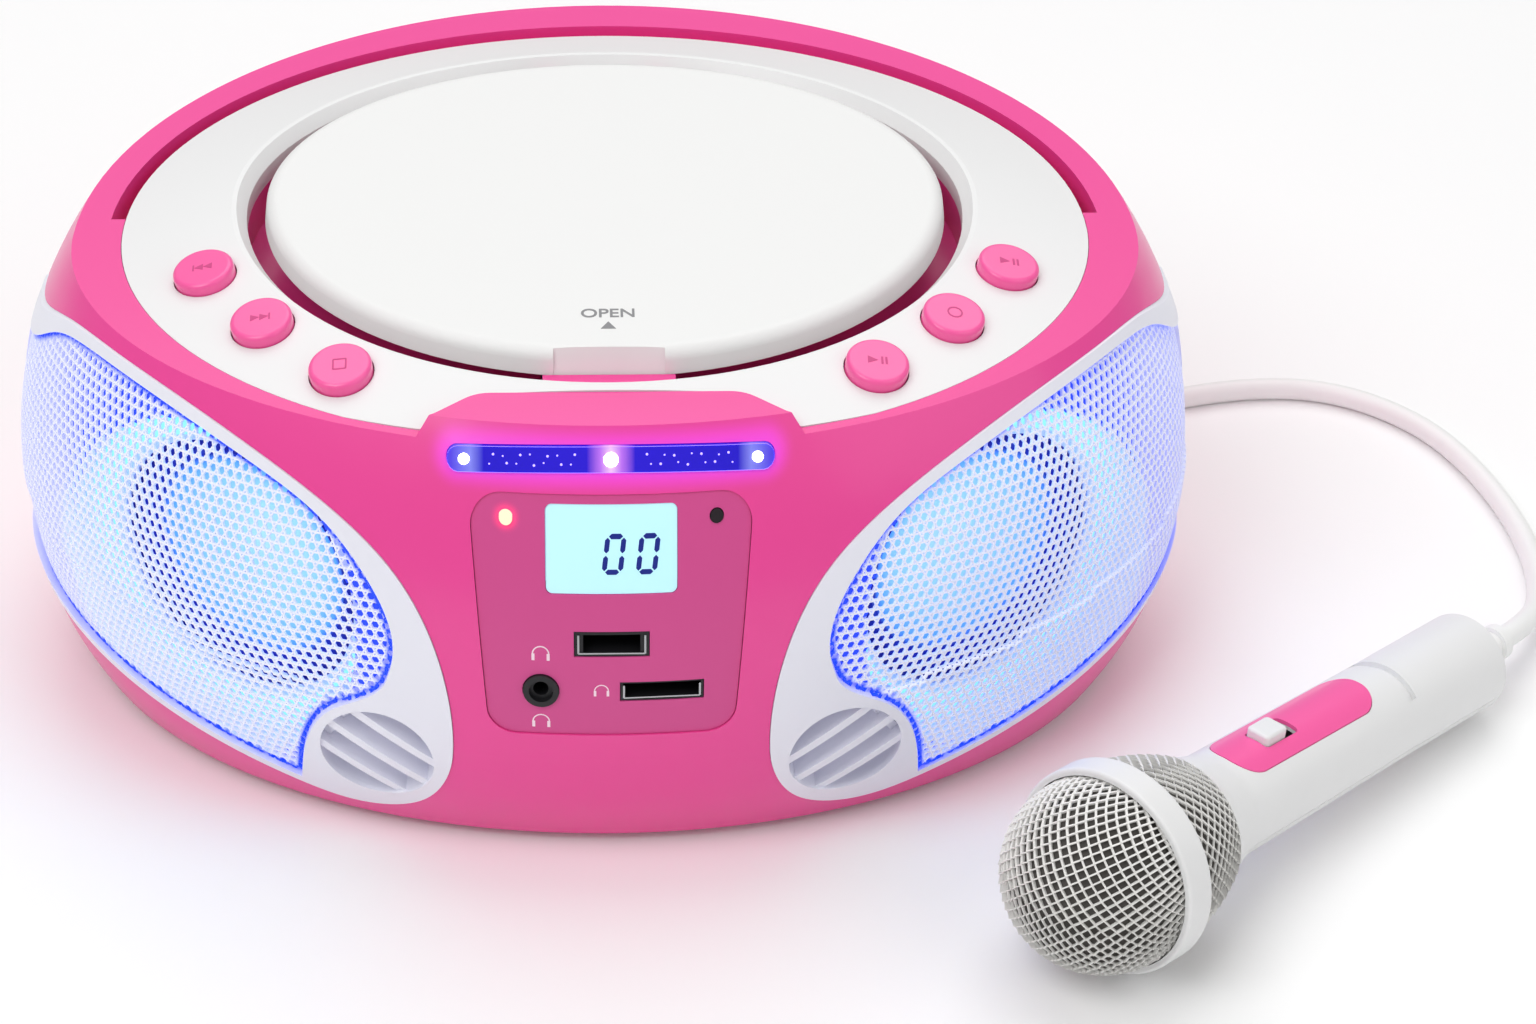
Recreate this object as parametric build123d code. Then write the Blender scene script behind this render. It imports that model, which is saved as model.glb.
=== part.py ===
"""Karaoke boombox: oval disc player with lit side speakers and a corded microphone.

Frame: origin on the floor under the middle of the cabinet, +X to its right,
+Y to its back, +Z up. Millimetres throughout.
"""
import os
from math import asin, atan2, cos, degrees, hypot, pi, radians, sin, sqrt, tan

from build123d import *

# ---------------------------------------------------------------- cabinet form
belly_half_width = 148.2      # half width at the widest level
belly_z = 55.0                # level of the widest section
barrel_radius = 104.0         # side profile, seen from the front
nose_depth = 111.5            # front of the widest front section
nose_z = 43.0                 # level of that section
nose_radius_low = 75.0        # front profile below nose_z
nose_radius_high = 118.0      # front profile above nose_z
back_depth = 114.0            # back of the cabinet and of the carrying grip
back_z = 70.0                 # the back is upright above this level
back_radius = 140.0           # back profile below back_z
foot_height = 3.0             # the base hangs this far above the floor
roof_z = 122.0                # top of the uncut form
form_levels = 9               # sections in the loft
wall = 2.5                    # moulded wall of the casings
seam_z = 33.5                 # joint between base and upper casing
joint_gap = 0.15              # gap between fitted mouldings

# ---------------------------------------------------------------- tilted top
top_z = 112.5                 # level of the rim plane above the origin
top_tilt = 3.0                # the rim plane falls towards the front
rim_half_width = 131.5        # outer edge of the rim, in the rim plane
deck_half_width = 118.8       # white deck, in the rim plane
deck_front = 92.0
deck_back = 97.0
deck_edge = 2.5               # thickness of the deck and its ledge
deck_rise = 5.0               # the deck climbs this far towards the lid
ledge_width = 6.0             # seat of the deck on the upper casing
front_lip = 2.6               # pink rim left in front of the deck
groove_half_width = 122.5     # groove between deck and grip
groove_back = 102.3
groove_start_y = 7.0          # the groove runs from here round the back
groove_depth = 16.0
recess_half_width = 52.0      # hand recess under the grip
recess_front_y = 86.0
recess_low_z = 62.0
recess_high_z = 104.0
recess_corner = 10.0
brow_half_width = 31.0        # raised lip over the light bar
brow_y = -75.4
brow_flare = 27.0             # its ends run out sideways by this much
brow_run = 23.1               # over this length towards the front
brow_corner = 9.0
brow_height = 4.2
deck_tip_radius = 5.0

# ---------------------------------------------------------------- lid and well
lid_y = 8.0                   # centre of lid and well ovals
lid_half_width = 84.0
lid_front = 73.0
lid_back = 63.5
lid_low = 1.0                 # skirt edge above the rim plane
lid_high = 7.5                # top face
lid_taper = 2.6               # the skirt leans in towards the top
lid_wall = 2.0
lid_roll = 3.2                # rounding of the lid's top edge
well_half_width = 88.5
well_front = 78.5
well_back = 68.0
well_wall = 2.0
well_edge_z = 2.0             # inner edge of the deck round the well
deck_crest = 3.6              # width of the roll from the crest to the well
well_floor = -12.0            # floor of the disc well
tab_half_width = 13.0         # scooped finger tab at the front of the lid
tab_depth = 3.2
tab_lean = 18.0
notch_half_width = 15.5       # finger notch in the deck under the tab
notch_depth = 2.2
notch_floor = 1.4             # the tray shows pink at this height
hinge_y = 68.5                # lid hinge axis
hinge_z = 2.0
hinge_pin_radius = 1.5
hinge_pin_half_length = 17.0
knuckle_radius = 3.0
knuckle_half_length = 12.0
ear_thickness = 3.0
running_gap = 0.05            # radial gap of a pin in its bore
slide_gap = 0.3               # gap beside pieces that travel

# ---------------------------------------------------------------- disc drive
disc_y = 3.5                  # spindle axis
platter_radius = 15.0
platter_high = -9.6           # the disc lies at this height
platter_thickness = 1.6
spindle_nose_radius = 7.2
spindle_nose_height = 2.0
spindle_hole_radius = 17.0
shaft_radius = 1.0
chassis_high = -17.4
chassis_thickness = 1.6
chassis_half_width = 36.0
chassis_front_y = -70.0
chassis_back_y = 30.0
hub_radius = 3.0
grommet_radius = 4.0
motor_radius = 11.0
motor_height = 11.0
rod_radius = 1.2
rod_x = 12.5
rod_z = -15.9
rod_front_y = -69.0
rod_back_y = -9.0
post_length = 3.5
pickup_half_width = 15.0
pickup_half_length = 8.0
pickup_y = -22.0              # at rest, over the inner tracks
pickup_travel = 32.0
lens_radius = 3.5
gear_module = 1.0
gear_teeth = 10
gear_thickness = 1.8
gear_y = -27.5
gear_axle_radius = 1.2
tooth_share = 0.4             # tooth width as a share of the pitch
rack_back_y = 7.0
clamp_radius = 16.0
clamp_low = -8.2
clamp_thickness = 4.0
clamp_neck_radius = 6.0
clamp_flange_radius = 8.0
clamp_cage_radius = 12.0
clamp_cage_low = -3.6

# ---------------------------------------------------------------- push buttons
button_radius = 7.5
button_stand = 3.0            # rise above the deck
button_body = 4.4             # length below the deck's skin
button_travel = 1.5
button_stem = 7.6             # end of the stem below the deck's skin
button_switch = 3.0           # height of the switch under the stem
button_lean = 12.0            # buttons lean outwards with the deck
button_places = {             # in the rim plane
    "button_back": (-96.6, -24.0),
    "button_next": (-81.5, -46.0),
    "button_stop": (-62.2, -65.0),
    "button_pause": (62.2, -65.0),
    "button_mode": (81.5, -46.0),
    "button_play": (96.6, -24.0),
}
switch_gap = 0.2              # rest gap between plunger and switch
board_thickness = 1.6
button_board_width = 13.0
board_shift = 1.2             # the boards keep clear of the tray by this
button_drop = button_stem + button_travel + switch_gap + button_switch

# ---------------------------------------------------------------- speakers
surround_back_y = 12.0        # the surround wraps round the side to here
surround_proud = 0.5
surround_rim = 2.4            # least width of the white rim
flange = 1.5                  # thickness of inner flanges
flange_reach = 3.5            # how far a flange reaches behind the casing
grille_inset = 1.3            # the grille sits this far behind the casing's surface
vent_x = 55.4
vent_z = 28.5
vent_half_width = 13.6
vent_half_height = 13.8
vent_depth = 5.0
vent_ribs = 3
vent_rib_width = 2.1
vent_pitch = 7.4
vent_angle = -34.0
speaker_x = 88.0
speaker_y = -62.0
speaker_z = 57.0
speaker_turn = 33.0           # the cone faces out by this angle
speaker_top_z = 107.5         # the surrounds end here on the flank
speaker_corner = 26.0
basket_radius = 38.0
basket_depth = 18.0
basket_rim = 2.0
cone_radius = 33.0
cone_neck_radius = 9.5
magnet_radius = 18.0
magnet_height = 10.0
chamber_radius = 45.0         # tube from the baffle to the grille
chamber_wall = 2.0
baffle_thickness = 2.0
light_ring_inner = 36.5
light_ring_outer = 42.5
light_ring_thickness = 2.0

# ---------------------------------------------------------------- front panel
panel_top_z = 98.6
panel_low_z = 41.0
panel_top_half = 32.6
panel_low_half = 28.4
panel_corner = 7.0
panel_recess = 0.5
panel_flange = 2.0
lcd_half_width = 15.0
lcd_low_z = 77.0
lcd_high_z = 96.4
usb_z = 65.0
usb_width = 17.2
usb_height = 6.0
port_skin = 0.6
port_tongue = 8.0
card_x = 11.6
card_z = 52.8
card_width = 19.2
card_height = 4.8
phones_x = -16.4
phones_z = 53.0
phones_collar_radius = 4.15
phones_hole_radius = 1.8
led_x = -24.1
led_z = 93.4
led_radius = 1.5
sensor_radius = 1.5
bar_half_width = 37.4
bar_z = 105.4
bar_height = 5.0
bar_sag = -1.0
bar_pocket = 4.0
front_board_y = -88.0

# ---------------------------------------------------------------- back panel
io_half_width = 64.0
io_low_z = 37.0
io_high_z = 56.0
io_face_y = 92.0
jack_xs = (50.0, 28.0)        # the first one holds the microphone's plug
jack_z = 46.0
jack_barrel = 5.5
jack_bore = 3.25
jack_nut_radius = 6.5
jack_nut_height = 2.0
jack_length = 34.0
inlet_x = -42.0
inlet_width = 20.0
inlet_height = 12.0
inlet_depth = 18.0
switch_x = -8.0
switch_slot_length = 10.0
switch_slot_width = 5.0
switch_travel = 4.0

# ---------------------------------------------------------------- inside
battery_x = 30.0
battery_y = 30.0
battery_length = 100.0
battery_width = 62.0
battery_height = 30.0
battery_wall = 2.0
transformer_size = (50.0, 40.0, 36.0)
transformer_x = -60.0
transformer_y = 44.0
foot_radius = 9.0
foot_x = 92.0
foot_y = 48.0
foot_seat = 1.0
board_half_length = 46.0      # main board
board_front_y = -70.0
board_back_y = -12.0
board_z = 18.0
screw_head = 1.6
screw_radius = 3.0
screw_places = ((-60.0, 72.0), (60.0, 72.0), (-108.0, 0.0), (108.0, 0.0), (0.0, -78.0))

# ---------------------------------------------------------------- microphone
mic_x = 111.7                 # centre of the ball
mic_y = -144.5
mic_yaw = 43.6
ball_radius = 23.5
ball_wall = 1.2
band_radius = 25.2
band_start = -1.0
band_end = 7.5
neck_start = 28.0
neck_radius = 17.5
handle_start = 42.0
handle_radius = 13.4
tail_start = 104.0
tail_radius = 12.8
tail_end = 146.0
mic_wall = 2.0
mic_split = -4.0              # the halves meet below the middle
slot_width = 3.0
slot_half_length = 9.5
slot_depth = 1.4
plate_start = 42.0
plate_end = 95.0
plate_half_width = 7.5
plate_depth = 0.8
slider_u = 58.0
slider_length = 8.0
slider_width = 6.5
slider_rise = 2.2
slider_travel = 4.0
relief_length = 14.0
relief_radius = 4.2
relief_tip_radius = 3.4

# ---------------------------------------------------------------- cord
cord_radius = 3.0
plug_shaft_radius = 3.15
plug_shaft_length = 31.0
plug_grip_radius = 7.0
plug_grip_length = 34.0
plug_tail_length = 16.0
coil_turn_radius = 33.0
coil_rows = 3
coil_layers = 2
coil_x = -12.0
coil_y = 203.0

PARTS = {}


def add(name, part):
    """Keep a finished piece under its node name."""
    PARTS[name] = part


# ---------------------------------------------------------------- shared forms
def half_width(z):
    """Half width of the cabinet at a level."""
    rise = z - belly_z
    return belly_half_width - barrel_radius + sqrt(barrel_radius**2 - rise**2)


def front_depth(z):
    """Distance of the front from the middle at a level."""
    rise = z - nose_z
    radius = nose_radius_high if rise > 0 else nose_radius_low
    return nose_depth - radius + sqrt(radius**2 - rise**2)


def back_reach(z):
    """Distance of the back from the middle at a level."""
    rise = min(0.0, z - back_z)
    return back_depth - back_radius + sqrt(back_radius**2 - rise**2)


def oval(half_w, front, back, y=0.0):
    """Face bounded by a front and a back half ellipse of one half width."""
    near = EllipticalCenterArc((0, y), half_w, front, 180, arc_size=180)
    far = EllipticalCenterArc((0, y), half_w, back, 0, arc_size=180)
    return Face(Wire([near, far]))


def form(inset=0.0, low=foot_height, high=roof_z):
    """Solid of the cabinet's outer form, moved inwards by an inset."""
    step = (high - low) / (form_levels - 1)
    sections = []
    for index in range(form_levels):
        z = low + index * step
        face = oval(half_width(z) - inset, front_depth(z) - inset, back_reach(z) - inset)
        sections.append(Pos(0, 0, z) * face)
    return loft(sections)


def slab(low, high, size=400.0):
    """Endless level slab between two heights."""
    return Pos(0, 0, (low + high) / 2) * Box(size, size, high - low)


def prism(face, low, high):
    """Upright prism on a face drawn in the XY plane."""
    return extrude(Pos(0, 0, low) * face, high - low, dir=(0, 0, 1))


TOP = Pos(0, 0, top_z) * Rot(top_tilt, 0, 0)


def below_top(height):
    """Everything under a plane parallel to the rim plane."""
    return TOP * slab(height - 300, height)


def outline(points, corner=0.0):
    """Face of a closed outline drawn in the XZ plane, as seen from the front."""
    face = make_face(Polyline(*points, close=True))
    if corner:
        face = fillet(face.vertices(), corner)
    return Plane.XZ * face


def front_prism(face, y_from, y_to):
    """Prism of an XZ face between two depths."""
    return extrude(Pos(0, y_from, 0) * face, y_to - y_from, dir=(0, 1, 0))


def mirror_x(part):
    """Mirror a piece to the other side."""
    return mirror(part, about=Plane.YZ)


FORMS = {}


def cabinet(inset=0.0):
    """The cabinet's form at an inset, lofted once and kept."""
    if inset not in FORMS:
        FORMS[inset] = form(inset, foot_height + max(0.0, inset), roof_z)
    return FORMS[inset]


def skin(near, far, window):
    """Part of the layer between two insets that lies inside a window prism."""
    return (cabinet(near) & window) - cabinet(far)


def spread(points, grow, centre):
    """Move outline points away from a centre by a distance."""
    moved = []
    for x, z in points:
        length = hypot(x - centre[0], z - centre[1])
        share = 1 + grow / length
        moved.append((centre[0] + (x - centre[0]) * share, centre[1] + (z - centre[1]) * share))
    return moved


# ---------------------------------------------------------------- speaker openings
SPEAKER_CENTRE = (92.0, 57.0)
SURROUND_TOP = ((168, 62), (150, 84), (138, 98.8), (129, 105), (116, 106.6), (100, 104.6), (81.4, 99),
                (66, 91.8), (50, 79), (38.6, 53), (37.2, 34))
SURROUND_LOW = ((37.2, 34), (39.4, 23), (46.0, 13.0), (60.0, 8.0), (76.0, 11.0), (110.0, 20.8),
                (140, 30), (168, 40))
GRILLE_TOP = ((168, 56), (150, 79), (138.6, 94.6), (131, 101.8), (117, 104.2), (100.3, 101.9), (81.4, 96.2),
              (67, 88.8), (57, 78), (51, 65), (52, 53.4))
GRILLE_SIDE = ((52, 53.4), (54.6, 48.6), (60.4, 44.4), (66.1, 40.4), (70.4, 34.2), (72.4, 28.2), (73.7, 20),
               (74.3, 13))
GRILLE_LOW = ((74.3, 13.0), (90.0, 17.6), (110.0, 23.4), (140, 32.6), (168, 42))


def speaker_window(edges, grow, rim):
    """Prism through the right flank inside closed spline edges, rounded at the back."""
    runs = [spread(points, grow, SPEAKER_CENTRE) for points in edges]
    curves = [Spline(*points) for points in runs]
    curves.append(Line(runs[-1][-1], runs[0][0]))
    back_y = surround_back_y + grow - rim
    shape = front_prism(Plane.XZ * make_face(curves), -nose_depth - 20, back_y)
    side = Rectangle(2 * nose_depth + 80, 2 * (speaker_top_z + grow - rim))
    flank = Pos(back_y - nose_depth - 40, 0) * fillet(side.vertices(), speaker_corner + grow - rim)
    return shape & extrude(Plane.YZ * flank, 400, both=True)


def surround_window(grow=0.0):
    """Prism inside the white surround's outline."""
    return speaker_window((SURROUND_TOP, SURROUND_LOW), grow, 0)


def grille_window(grow=0.0):
    """Prism inside the grille's outline."""
    return speaker_window((GRILLE_TOP, GRILLE_SIDE, GRILLE_LOW), grow, surround_rim)


def make_surround():
    """White surround with its flange, vent and speaker chamber, right side."""
    whole = surround_window()
    mouth = grille_window()
    rim = skin(-surround_proud, wall, whole) - mouth
    deep = wall + joint_gap + flange
    ledge = skin(wall + joint_gap, deep, surround_window(flange_reach)) - grille_window(-flange)
    ledge += skin(wall - 0.5, deep, surround_window(-0.5)) - mouth
    ledge &= below_top(-flange)
    oval_face = Plane.XZ * Pos(vent_x, vent_z) * Ellipse(vent_half_width, vent_half_height)
    cup_face = Plane.XZ * Pos(vent_x, vent_z) * Ellipse(vent_half_width + 1.5, vent_half_height + 1.5)
    vent = front_prism(oval_face, -nose_depth - 20, -60)
    cup = skin(wall, wall + vent_depth + 1.5, front_prism(cup_face, -nose_depth - 20, -60))
    recess = skin(-1.0, wall + vent_depth, vent)
    body = rim + ledge + cup - recess
    body -= Pos(50, -10, 6) * Box(100, 80, 12)
    for index in range(vent_ribs):
        shift = (index - (vent_ribs - 1) / 2) * vent_pitch
        rib = Box(4 * vent_half_width, 300, vent_rib_width)
        rib = Pos(vent_x, 0, vent_z) * Rot(0, vent_angle, 0) * Pos(0, 0, shift) * rib
        body += skin(0.4, wall + vent_depth + 0.5, vent & rib)
    return body


# ---------------------------------------------------------------- speakers
def speaker_frame(side):
    """Frame of a speaker's baffle, its Z axis out through the grille."""
    turn = radians(speaker_turn)
    axis = (side * sin(turn), -cos(turn), 0)
    return Plane(origin=(side * speaker_x, speaker_y, speaker_z), x_dir=(0, 0, 1), z_dir=axis).location


def ring(outer_radius, inner_radius, low, high):
    """Flat ring round the Z axis."""
    disc = Circle(outer_radius) - Circle(inner_radius)
    return extrude(Pos(0, 0, low) * disc, high - low)


def cylinder(radius, low, high):
    """Cylinder on the Z axis between two heights."""
    return extrude(Pos(0, 0, low) * Circle(radius), high - low)


def make_chamber():
    """Tube and baffle ring that carry the right speaker behind its grille."""
    tube = ring(chamber_radius, chamber_radius - chamber_wall, 0, 70)
    baffle = ring(chamber_radius, cone_radius + 1, 0, baffle_thickness)
    inside = cabinet(wall + joint_gap + flange - 0.1)
    return (speaker_frame(1) * tube & inside) + speaker_frame(1) * baffle


def make_basket():
    """Pressed basket with four windows, on its own axis."""
    rim = ring(basket_radius, cone_radius, -basket_rim, 0)
    height = basket_depth - basket_rim
    middle = Pos(0, 0, -basket_rim - height / 2)
    outside = middle * Cone(magnet_radius, cone_radius + 2, height)
    inside = middle * Cone(magnet_radius - 1.5, cone_radius + 0.5, height + 0.01)
    shell = outside - inside
    gap = middle * Box(90, 15, height - 5)
    for angle in (0, 90):
        shell -= Rot(0, 0, angle) * gap
    back = ring(magnet_radius, cone_neck_radius + 0.5, -basket_depth, -basket_depth + 1.2)
    return rim + shell + back


def make_cone():
    """Paper cone with its roll and dust cap, on its own axis."""
    edge = cone_radius - joint_gap
    profile = Polyline(
        (0, -8.5), (cone_neck_radius, -12.5), (edge - 5, -3.2), (edge - 2.5, -0.2), (edge, -1.0),
        (edge, -2.0), (edge - 2.5, -1.6), (edge - 5, -4.6), (cone_neck_radius, -14),
        (cone_neck_radius, -basket_depth + 0.1), (cone_neck_radius - 1, -basket_depth + 0.1),
        (cone_neck_radius - 1, -14), (0, -14),
        close=True,
    )
    face = make_face(Plane.XZ * profile)
    return revolve(face, Axis.Z)


# ---------------------------------------------------------------- top outline
def front_at(height):
    """Front reach of the cabinet where the rim plane's height meets it."""
    reach = nose_depth
    for _ in range(8):
        reach = front_depth(top_z + height - reach * tan(radians(top_tilt)))
    return reach


def brow_face(grow=0.0):
    """Raised lip over the light bar, in the rim plane."""
    half = brow_half_width + grow
    back = brow_y + grow
    ends = (brow_half_width + brow_flare + grow, back - brow_run)
    points = [(-half, back), (half, back), ends, (ends[0], -160), (-ends[0], -160), (-ends[0], ends[1])]
    face = make_face(Polyline(*points, close=True))
    corners = face.vertices().sort_by(Axis.Y)[-2:]
    return fillet(corners, brow_corner)


def deck_face(inset=0.0):
    """Outline of the deck, in the rim plane, with the lip left out."""
    wide = oval(deck_half_width - inset, deck_front - inset, deck_back - inset)
    rim = oval(rim_half_width - front_lip - inset, front_at(0) - front_lip - inset, deck_back + 20)
    face = (wide & rim) - brow_face(inset)
    tips = face.vertices().filter_by(lambda v: v.Y < brow_y + inset - 4 and abs(v.X) < 60)
    return fillet(tips, deck_tip_radius)


def groove_face(grow=0.0):
    """Groove between deck and grip, in the rim plane."""
    whole = oval(groove_half_width + grow, groove_half_width, groove_back + grow)
    whole -= oval(deck_half_width - grow, deck_half_width, deck_back - grow)
    keep = Pos(0, 200 + groove_start_y - grow) * Rectangle(400, 400)
    return whole & keep


def rounded_box(x_from, x_to, y_from, y_to, z_from, z_to, corner):
    """Box whose edges along Y are rounded."""
    size = (x_to - x_from, y_to - y_from, z_to - z_from)
    box = Box(*size)
    box = fillet(box.edges().filter_by(Axis.Y), corner)
    return Pos((x_from + x_to) / 2, (y_from + y_to) / 2, (z_from + z_to) / 2) * box


def hand_recess(grow=0.0):
    """Space for the fingers under the grip."""
    return rounded_box(-recess_half_width - grow, recess_half_width + grow, recess_front_y - grow,
                       back_depth + 10, recess_low_z - grow, recess_high_z + grow, recess_corner + grow)


def io_recess(grow=0.0):
    """Recess of the sockets in the back."""
    return rounded_box(-io_half_width - grow, io_half_width + grow, io_face_y - grow,
                       back_depth + 10, io_low_z - grow, io_high_z + grow, 4 + grow)


def panel_face(grow=0.0):
    """Outline of the control panel, as an XZ face."""
    points = [
        (-panel_low_half - grow, panel_low_z - grow),
        (panel_low_half + grow, panel_low_z - grow),
        (panel_top_half + grow, panel_top_z + grow),
        (-panel_top_half - grow, panel_top_z + grow),
    ]
    return outline(points, panel_corner + grow)


def bar_face(grow=0.0):
    """Outline of the light bar, as an XZ face."""
    reach = bar_half_width - bar_height / 2
    end_z = bar_z + bar_sag / 2
    line = ThreePointArc((-reach, end_z), (0, bar_z - bar_sag / 2), (reach, end_z))
    return Plane.XZ * SlotArc(line, bar_height + 2 * grow)


def front_window(face):
    """Prism of a front face through the front wall only."""
    return front_prism(face, -nose_depth - 20, -60)


# ---------------------------------------------------------------- casings
def make_casing():
    """Both casings in one piece, before the seam parts them."""
    top = cabinet() & below_top(0)
    hollow = cabinet(wall) & below_top(-2 * deck_edge)
    brow = cabinet() & (TOP * prism(brow_face(), -deck_edge, brow_height))
    deck_seat = TOP * prism(deck_face(-joint_gap), -deck_edge, 30)
    opening = TOP * prism(deck_face(ledge_width), -30, 30)
    groove = TOP * prism(groove_face(), -groove_depth, 30)
    groove_wall = TOP * prism(groove_face(wall), -groove_depth - wall, -2 * deck_edge + 0.1)
    body = top - hollow + brow
    body += top & groove_wall
    body += top & hand_recess(wall)
    body += top & io_recess(wall)
    body -= deck_seat
    body -= opening
    body -= groove
    body -= TOP * prism(well_oval(well_wall + joint_gap), -40, deck_rise)
    body -= hand_recess()
    body -= io_recess()
    for side in (1, -1):
        window = surround_window(joint_gap)
        rebate = skin(wall, wall + 2 * joint_gap + flange, surround_window(flange_reach + joint_gap))
        rebate &= below_top(-flange + joint_gap)
        body -= window if side > 0 else mirror_x(window)
        body -= rebate if side > 0 else mirror_x(rebate)
    body -= front_window(panel_face(joint_gap)) & cabinet(-1.0)
    body -= skin(-1.0, bar_pocket, front_window(bar_face(joint_gap)))
    return body


def boss(x, y, radius, low, high):
    """Upright boss at a place."""
    return Pos(x, y, 0) * cylinder(radius, low, high)


def make_base(body):
    """Lower casing with its bosses, door opening and pockets for feet and screws."""
    floor = foot_height + wall
    base = body & slab(-10, seam_z)
    for x, y in screw_places:
        base += boss(x, y, screw_radius + 1.5, floor - 0.1, seam_z)
    for x in (-board_half_length + 5, board_half_length - 5):
        for y in (board_front_y + 5, board_back_y - 5):
            base += boss(x, y, 3, floor - 0.1, board_z)
    for x, y in screw_places:
        base -= boss(x, y, screw_radius + running_gap, 0, foot_height + screw_head)
        base -= boss(x, y, screw_radius / 2 + running_gap, 0, seam_z - 4)
    for x in (-foot_x, foot_x):
        for y in (-foot_y, foot_y):
            base -= boss(x, y, foot_radius + running_gap, 0, foot_height + foot_seat)
    base -= Pos(battery_x, battery_y, foot_height) * Box(battery_length, battery_width, 20)
    return base


def make_upper(body):
    """Upper casing with the groove, the hand recess and the socket recess."""
    upper = body & slab(seam_z, 200)
    for x in jack_xs:
        upper -= Pos(x, 0, jack_z) * Rot(-90, 0, 0) * cylinder(jack_barrel + running_gap, 60, back_depth)
    upper -= Pos(inlet_x, io_face_y, jack_z) * Box(inlet_width + 0.2, 20, inlet_height + 0.2)
    upper -= Pos(switch_x, io_face_y, jack_z) * Box(switch_slot_length, 20, switch_slot_width)
    for name in button_places:
        upper -= button_frame(name) * cylinder(button_radius + 2.5, -20, -deck_edge)
    return upper


# ---------------------------------------------------------------- deck and well
def well_oval(grow=0.0):
    """Oval of the disc well, in the rim plane."""
    return oval(well_half_width + grow, well_front + grow, well_back + grow, lid_y)


def deck_height(x, y):
    """Height of the deck's slope over the rim plane at a place."""
    outside = hypot(x / deck_half_width, y / (deck_front if y < 0 else deck_back))
    crest = hypot(x / (well_half_width + deck_crest), (y - lid_y) / (well_front + deck_crest))
    gap_out = hypot(x, y) * (1 / outside - 1)
    gap_in = hypot(x, y - lid_y) * (1 - 1 / crest)
    return deck_rise * gap_out / (gap_out + gap_in)


def notch_prism(low, high):
    """Finger notch in the front edge of the well."""
    radius = (notch_half_width**2 + notch_depth**2) / (2 * notch_depth)
    middle = lid_y - well_front - notch_depth + radius
    near = prism(Pos(0, middle) * Circle(radius), low, high)
    return near & (Pos(0, lid_y - well_front, 0) * Box(2 * notch_half_width, 12, 100))


def button_frame(name):
    """Frame of a button on the deck's slope, Z out of the deck."""
    x, y = button_places[name]
    heading = degrees(atan2((y - lid_y) / well_front**2, x / well_half_width**2))
    lean = Rot(0, 0, heading) * Rot(0, button_lean, 0) * Rot(0, 0, -heading)
    return TOP * Pos(x, y, deck_height(x, y)) * lean


def make_deck():
    """White deck: an oval cone up to a crest, then a roll down to the well."""
    crest = well_oval(deck_crest)
    edge = oval(deck_half_width, deck_front, deck_back)
    cone = loft([edge, Pos(0, 0, deck_rise) * crest])
    cone += prism(edge, -deck_edge, 0)
    low = oval(deck_half_width - ledge_width, deck_front - ledge_width, deck_back - ledge_width)
    under_top = Pos(0, 0, deck_rise - deck_edge) * well_oval(deck_crest - 0.6)
    under = loft([Pos(0, 0, -deck_edge) * low, under_top])
    under -= prism(well_oval(deck_edge), -20, 20)
    mouth_top = Pos(0, 0, deck_rise + 0.01) * well_oval(deck_crest - 1.2)
    mouth = loft([Pos(0, 0, well_edge_z) * well_oval(), mouth_top])
    body = cone & prism(deck_face(), -deck_edge, 20)
    body -= under
    body -= mouth
    body -= prism(well_oval(), -20, well_edge_z + 0.01)
    body -= notch_prism(-20, 20)
    return body


def make_well():
    """Disc tray: wall, floor with the drive's window, pad under the notch and hinge posts."""
    body = prism(well_oval(well_wall), well_floor - well_wall, -deck_edge)
    body -= prism(well_oval(), well_floor, 10)
    pad = prism(well_oval(deck_edge), -deck_edge - 0.1, notch_floor) & notch_prism(-20, 20)
    inner_pad = Pos(0, lid_y - well_front + 1, 0) * Box(2 * notch_half_width, 6, 100)
    inner_pad &= prism(well_oval(), well_floor - 0.1, notch_floor)
    body += pad + inner_pad
    reach = -(pickup_y - pickup_half_length - pickup_travel) + 1.5
    window = Pos(0, -reach / 2, 0) * Box(2 * pickup_half_width + 2, reach, 60)
    body -= window & (Pos(0, 0, well_floor) * Box(400, 400, 10))
    body -= Pos(0, disc_y, 0) * cylinder(spindle_hole_radius, well_floor - 10, well_floor + 5)
    for side in (-1, 1):
        x = side * (knuckle_half_length + slide_gap + ear_thickness / 2)
        post = Pos(x, hinge_y, (hinge_z + well_floor) / 2)
        post *= Box(ear_thickness, 2 * knuckle_radius, hinge_z - well_floor)
        post += Pos(x, hinge_y, hinge_z) * Rot(0, 90, 0) * cylinder(knuckle_radius, -ear_thickness / 2,
                                                                   ear_thickness / 2)
        body += post
    body -= Pos(0, hinge_y, hinge_z) * Rot(0, 90, 0) * cylinder(hinge_pin_radius, -30, 30)
    return body


# ---------------------------------------------------------------- lid
def lid_oval(inset=0.0):
    """Oval of the lid, in the rim plane."""
    return oval(lid_half_width - inset, lid_front - inset, lid_back - inset, lid_y)


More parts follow.
